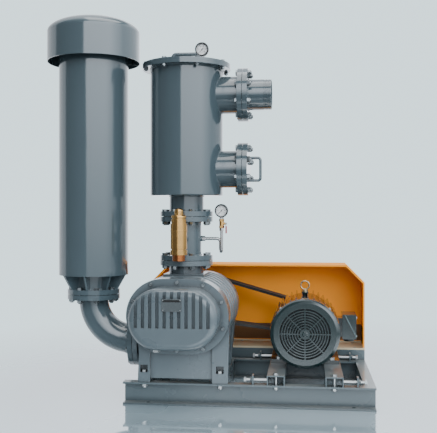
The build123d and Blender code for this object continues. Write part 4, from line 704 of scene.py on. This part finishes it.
unionSettings = {
    "size": 0.0115,
    "ends": (
        ((-0.238, -0.195, 0.735), (1, 0, 0), 0.014), ((-0.143, -0.231, 0.785), (0, 0, -1), 0.013),
    ),
}


def makeUnions():
    mesh = bmesh.new()
    for spot, way, length in unionSettings["ends"]:
        addHead(mesh, spot, way, unionSettings["size"], length)
    addPiece("siphonUnions", mesh, ("gaugeSteel",), smooth=False)


makeUnions()


# screws that hold the guard tray on its pedestal

guardScrewSettings = {
    "first": -0.5, "pitch": 0.2, "count": 6, "rows": (0.238, 0.405), "height": 0.153,
    "head": (0.0085, 0.0055),
}


def makeGuardScrews():
    mesh = bmesh.new()
    for number in range(guardScrewSettings["count"]):
        x = guardScrewSettings["first"] + guardScrewSettings["pitch"] * number
        for y in guardScrewSettings["rows"]:
            spot = (x, y, guardScrewSettings["height"])
            addHead(mesh, spot, (0, 0, 1), *guardScrewSettings["head"])
    addPiece("guardScrews", mesh, ("zincPlate",), smooth=False)


makeGuardScrews()


# plain rings of the cable gland under the terminal box

glandSettings = {"centre": (0.455, -0.005), "heights": (0.2355, 0.2425), "ring": (0.0235, 0.0022)}


def makeGland():
    mesh = bmesh.new()
    for height in glandSettings["heights"]:
        addBead(mesh, (*glandSettings["centre"], height), (0, 0, 1), *glandSettings["ring"])
    addPiece("cableGland", mesh, ("blackNylon",), "motor_carriage")


makeGland()


# cap screws of the fan cowl and of the terminal lid

motorScrewSettings = {
    "cowlCentre": (0.244, -0.245, 0.303), "cowlRadius": 0.159, "cowlScrew": (0.0058, 0.0042),
    "cowlCount": 4, "cowlStart": 45,
    "lidCentre": (0.488, -0.005, 0.308), "lidSpread": (0.056, 0.044), "lidScrew": (0.0055, 0.004),
}


def makeMotorScrews():
    mesh = bmesh.new()
    count = motorScrewSettings["cowlCount"]
    for number in range(count):
        angle = radians(motorScrewSettings["cowlStart"] + 360 * number / count)
        way = Vector((cos(angle), 0, sin(angle)))
        spot = Vector(motorScrewSettings["cowlCentre"]) + way * motorScrewSettings["cowlRadius"]
        addHead(mesh, spot, way, *motorScrewSettings["cowlScrew"])
    across, up = motorScrewSettings["lidSpread"]
    for left in (-1, 1):
        for low in (-1, 1):
            spot = Vector(motorScrewSettings["lidCentre"]) + Vector((0, left * across, low * up))
            addHead(mesh, spot, (1, 0, 0), *motorScrewSettings["lidScrew"])
    addPiece("motorScrews", mesh, ("zincPlate",), "motor_carriage", smooth=False)


makeMotorScrews()


# raised flange where the slanted terminal lid meets its box; its finish is paler than the motor
# paint, a painted highlight

seamSettings = {
    "centre": (0.461, -0.005, 0.314), "toEnd": 0.0698, "across": 0.054, "down": 0.106,
    "section": (0.0035, 0.005), "soft": 0.0009,
}


def makeLidSeam():
    mesh = bmesh.new()
    across, down = seamSettings["across"], seamSettings["down"]
    for end in (-1, 1):
        spot = Vector(seamSettings["centre"]) + Vector((0, end * seamSettings["toEnd"], 0))
        place = Matrix.Translation(spot) @ Matrix.Rotation(atan2(down, across), 4, "Y")
        bar = addBar(mesh, place, (hypot(across, down), *seamSettings["section"]))
        softenEdges(mesh, edgesOf(bar), seamSettings["soft"])
    addPiece("lidSeam", mesh, ("lidSeamHighlight",), "motor_carriage", smooth=False)


makeLidSeam()
print("small fittings made")


# relief valve spring: a wire coil

springSettings = {
    "spot": (-0.324, -0.36, 0.711), "radius": 0.0155, "wire": 0.0022, "wireSides": 10,
    "turns": 9, "stepsPerTurn": 24, "rise": 0.083, "travel": 0.008,
}


def makeSpring():
    mesh = bmesh.new()
    spot = Vector(springSettings["spot"])
    turns, rise = springSettings["turns"], springSettings["rise"]
    steps = springSettings["stepsPerTurn"] * turns
    start = Matrix.Translation(spot + Vector((springSettings["radius"], 0, 0)))
    ring = bmesh.ops.create_circle(mesh, segments=springSettings["wireSides"],
                                   radius=springSettings["wire"],
                                   matrix=start @ Matrix.Rotation(pi / 2, 4, "X"))["verts"]
    bmesh.ops.spin(mesh, geom=ring + edgesOf(ring), cent=spot, axis=(0, 0, 1),
                   angle=2 * pi * turns, dvec=(0, 0, rise / steps), steps=steps)
    ends = [edge for edge in mesh.edges if edge.is_boundary]
    bmesh.ops.holes_fill(mesh, edges=ends, sides=0)
    spring = addPiece("reliefSpring", mesh, ("groundSteel",))
    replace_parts(spring, "relief_valve_spring")
    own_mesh(spring)


makeSpring()
print("spring wound")


# belts: a copy of the CAD loops

def makeBelts():
    data = nodes["v_belts"].data.copy()
    data.name = "beltSet"
    belts = bpy.data.objects.new("beltSet", data)
    bpy.context.scene.collection.objects.link(belts)
    data.materials.clear()
    data.materials.append(finishes["blackRubber"])
    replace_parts(belts, "v_belts")
    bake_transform(belts)


makeBelts()
print("belts fitted")


# floor: pale, glossy enough to mirror the base, faded out into the background

floorSettings = {
    "radius": 5.0, "sides": 96, "colour": (0.58, 0.74, 0.81), "cloudScale": 0.6,
    "cloud": (0.3, 0.7), "drift": (0.985, 1.015), "roughness": (0.2, 0.3),
    "coatRoughness": 0.03, "mirror": 8.0, "fade": (2.6, 1.1),
}


def makeFloor():
    mesh = bmesh.new()
    bmesh.ops.create_circle(mesh, cap_ends=True, segments=floorSettings["sides"],
                            radius=floorSettings["radius"])
    data = bpy.data.meshes.new("floor")
    mesh.to_mesh(data)
    mesh.free()
    floor = bpy.data.objects.new("floor", data)
    bpy.context.scene.collection.objects.link(floor)
    material = bpy.data.materials.new("paleFloor")
    material.use_nodes = True
    tree = material.node_tree
    shader = tree.nodes["Principled BSDF"]
    place = objectPlace(tree)
    noise = noiseNode(tree, place, floorSettings["cloudScale"])
    drift = rangeNode(tree, noise, *floorSettings["cloud"], *floorSettings["drift"])
    colour = scaleColour(tree, floorSettings["colour"], drift)
    tree.links.new(colour, shader.inputs["Base Color"])
    roughness = rangeNode(tree, drift, *floorSettings["drift"], *floorSettings["roughness"])
    tree.links.new(roughness, shader.inputs["Roughness"])
    shader.inputs["Coat Weight"].default_value = 1.0
    shader.inputs["Coat Roughness"].default_value = floorSettings["coatRoughness"]
    shader.inputs["Coat IOR"].default_value = floorSettings["mirror"]
    reach = addNode(tree, "ShaderNodeVectorMath", operation="LENGTH")
    tree.links.new(place, reach.inputs[0])
    tree.links.new(rangeNode(tree, reach.outputs["Value"], *floorSettings["fade"]),
                   shader.inputs["Alpha"])
    data.materials.append(material)


makeFloor()


# light: pale behind, a wide bright panel to the front right with a crisp left edge, dark to the
# front left; angles are degrees from straight ahead of the object, positive to its right

skySettings = {
    "seen": (1.3, 1.62, 1.72), "tint": (0.9, 0.97, 1.04), "ambient": 0.2,
    "panel": 4.7, "panelLeft": (-10, -8.5), "panelRight": (92, 55), "panelRightLeast": 0.3,
    "panelTop": (0.72, 0.62), "panelFoot": (-0.16, 0.3),
    "farLeft": 0.85, "farLeftEdge": (-86, -90),
    "wall": 1.7, "wallEdge": (0.75, 0.95), "overhead": 0.5, "overheadEdge": (0.75, 0.98),
}


def makeSky():
    world = bpy.data.worlds.new("studio")
    bpy.context.scene.world = world
    world.use_nodes = True
    tree = world.node_tree
    tree.nodes.clear()
    way = splitVector(tree, addNode(tree, "ShaderNodeTexCoord").outputs["Generated"])
    turn = mathNode(tree, "ARCTAN2", way["X"], mathNode(tree, "MULTIPLY", way["Y"], -1.0))

    def turnEdge(key, *ends):
        return rangeNode(tree, turn, *(radians(angle) for angle in skySettings[key]), *ends)

    def times(first, second):
        return mathNode(tree, "MULTIPLY", first, second)

    sides = times(turnEdge("panelLeft"),
                  turnEdge("panelRight", skySettings["panelRightLeast"], 1.0))
    ends = times(rangeNode(tree, way["Z"], *skySettings["panelTop"]),
                 rangeNode(tree, way["Z"], *skySettings["panelFoot"]))
    panel = times(times(sides, ends), skySettings["panel"])
    farLeft = times(turnEdge("farLeftEdge"), skySettings["farLeft"])
    wall = addNode(tree, "ShaderNodeMix", data_type="FLOAT")
    tree.links.new(rangeNode(tree, way["Y"], *skySettings["wallEdge"]), wall.inputs[0])
    tree.links.new(mathNode(tree, "ADD", panel, farLeft), wall.inputs[2])
    wall.inputs[3].default_value = skySettings["wall"]
    overhead = times(rangeNode(tree, way["Z"], *skySettings["overheadEdge"]),
                     skySettings["overhead"])
    glow = mathNode(tree, "ADD", wall.outputs[0], overhead)
    glow = mathNode(tree, "ADD", glow, skySettings["ambient"])

    # what lights the object, and the plain pale ground that is seen behind it
    light = addNode(tree, "ShaderNodeBackground")
    light.inputs["Color"].default_value = (*skySettings["tint"], 1)
    tree.links.new(glow, light.inputs["Strength"])
    seen = addNode(tree, "ShaderNodeBackground")
    seen.inputs["Color"].default_value = (*skySettings["seen"], 1)
    path = addNode(tree, "ShaderNodeLightPath")
    mix = addNode(tree, "ShaderNodeMixShader")
    tree.links.new(path.outputs["Is Camera Ray"], mix.inputs[0])
    tree.links.new(light.outputs[0], mix.inputs[1])
    tree.links.new(seen.outputs[0], mix.inputs[2])
    out = addNode(tree, "ShaderNodeOutputWorld")
    tree.links.new(mix.outputs[0], out.inputs["Surface"])


makeSky()


lampSettings = {"place": (0.2, -0.6, 4.2), "target": (0, 0, 0.6), "size": 2.6, "power": 70}


def makeLamp():
    lamp = bpy.data.objects.new("topLamp", bpy.data.lights.new("topLamp", "AREA"))
    bpy.context.scene.collection.objects.link(lamp)
    lamp.data.shape = "SQUARE"
    lamp.data.size = lampSettings["size"]
    lamp.data.energy = lampSettings["power"]
    lamp.location = lampSettings["place"]
    toTarget = Vector(lampSettings["target"]) - Vector(lampSettings["place"])
    lamp.rotation_euler = toTarget.to_track_quat("-Z", "Y").to_euler()


makeLamp()
print("floor and light ready")
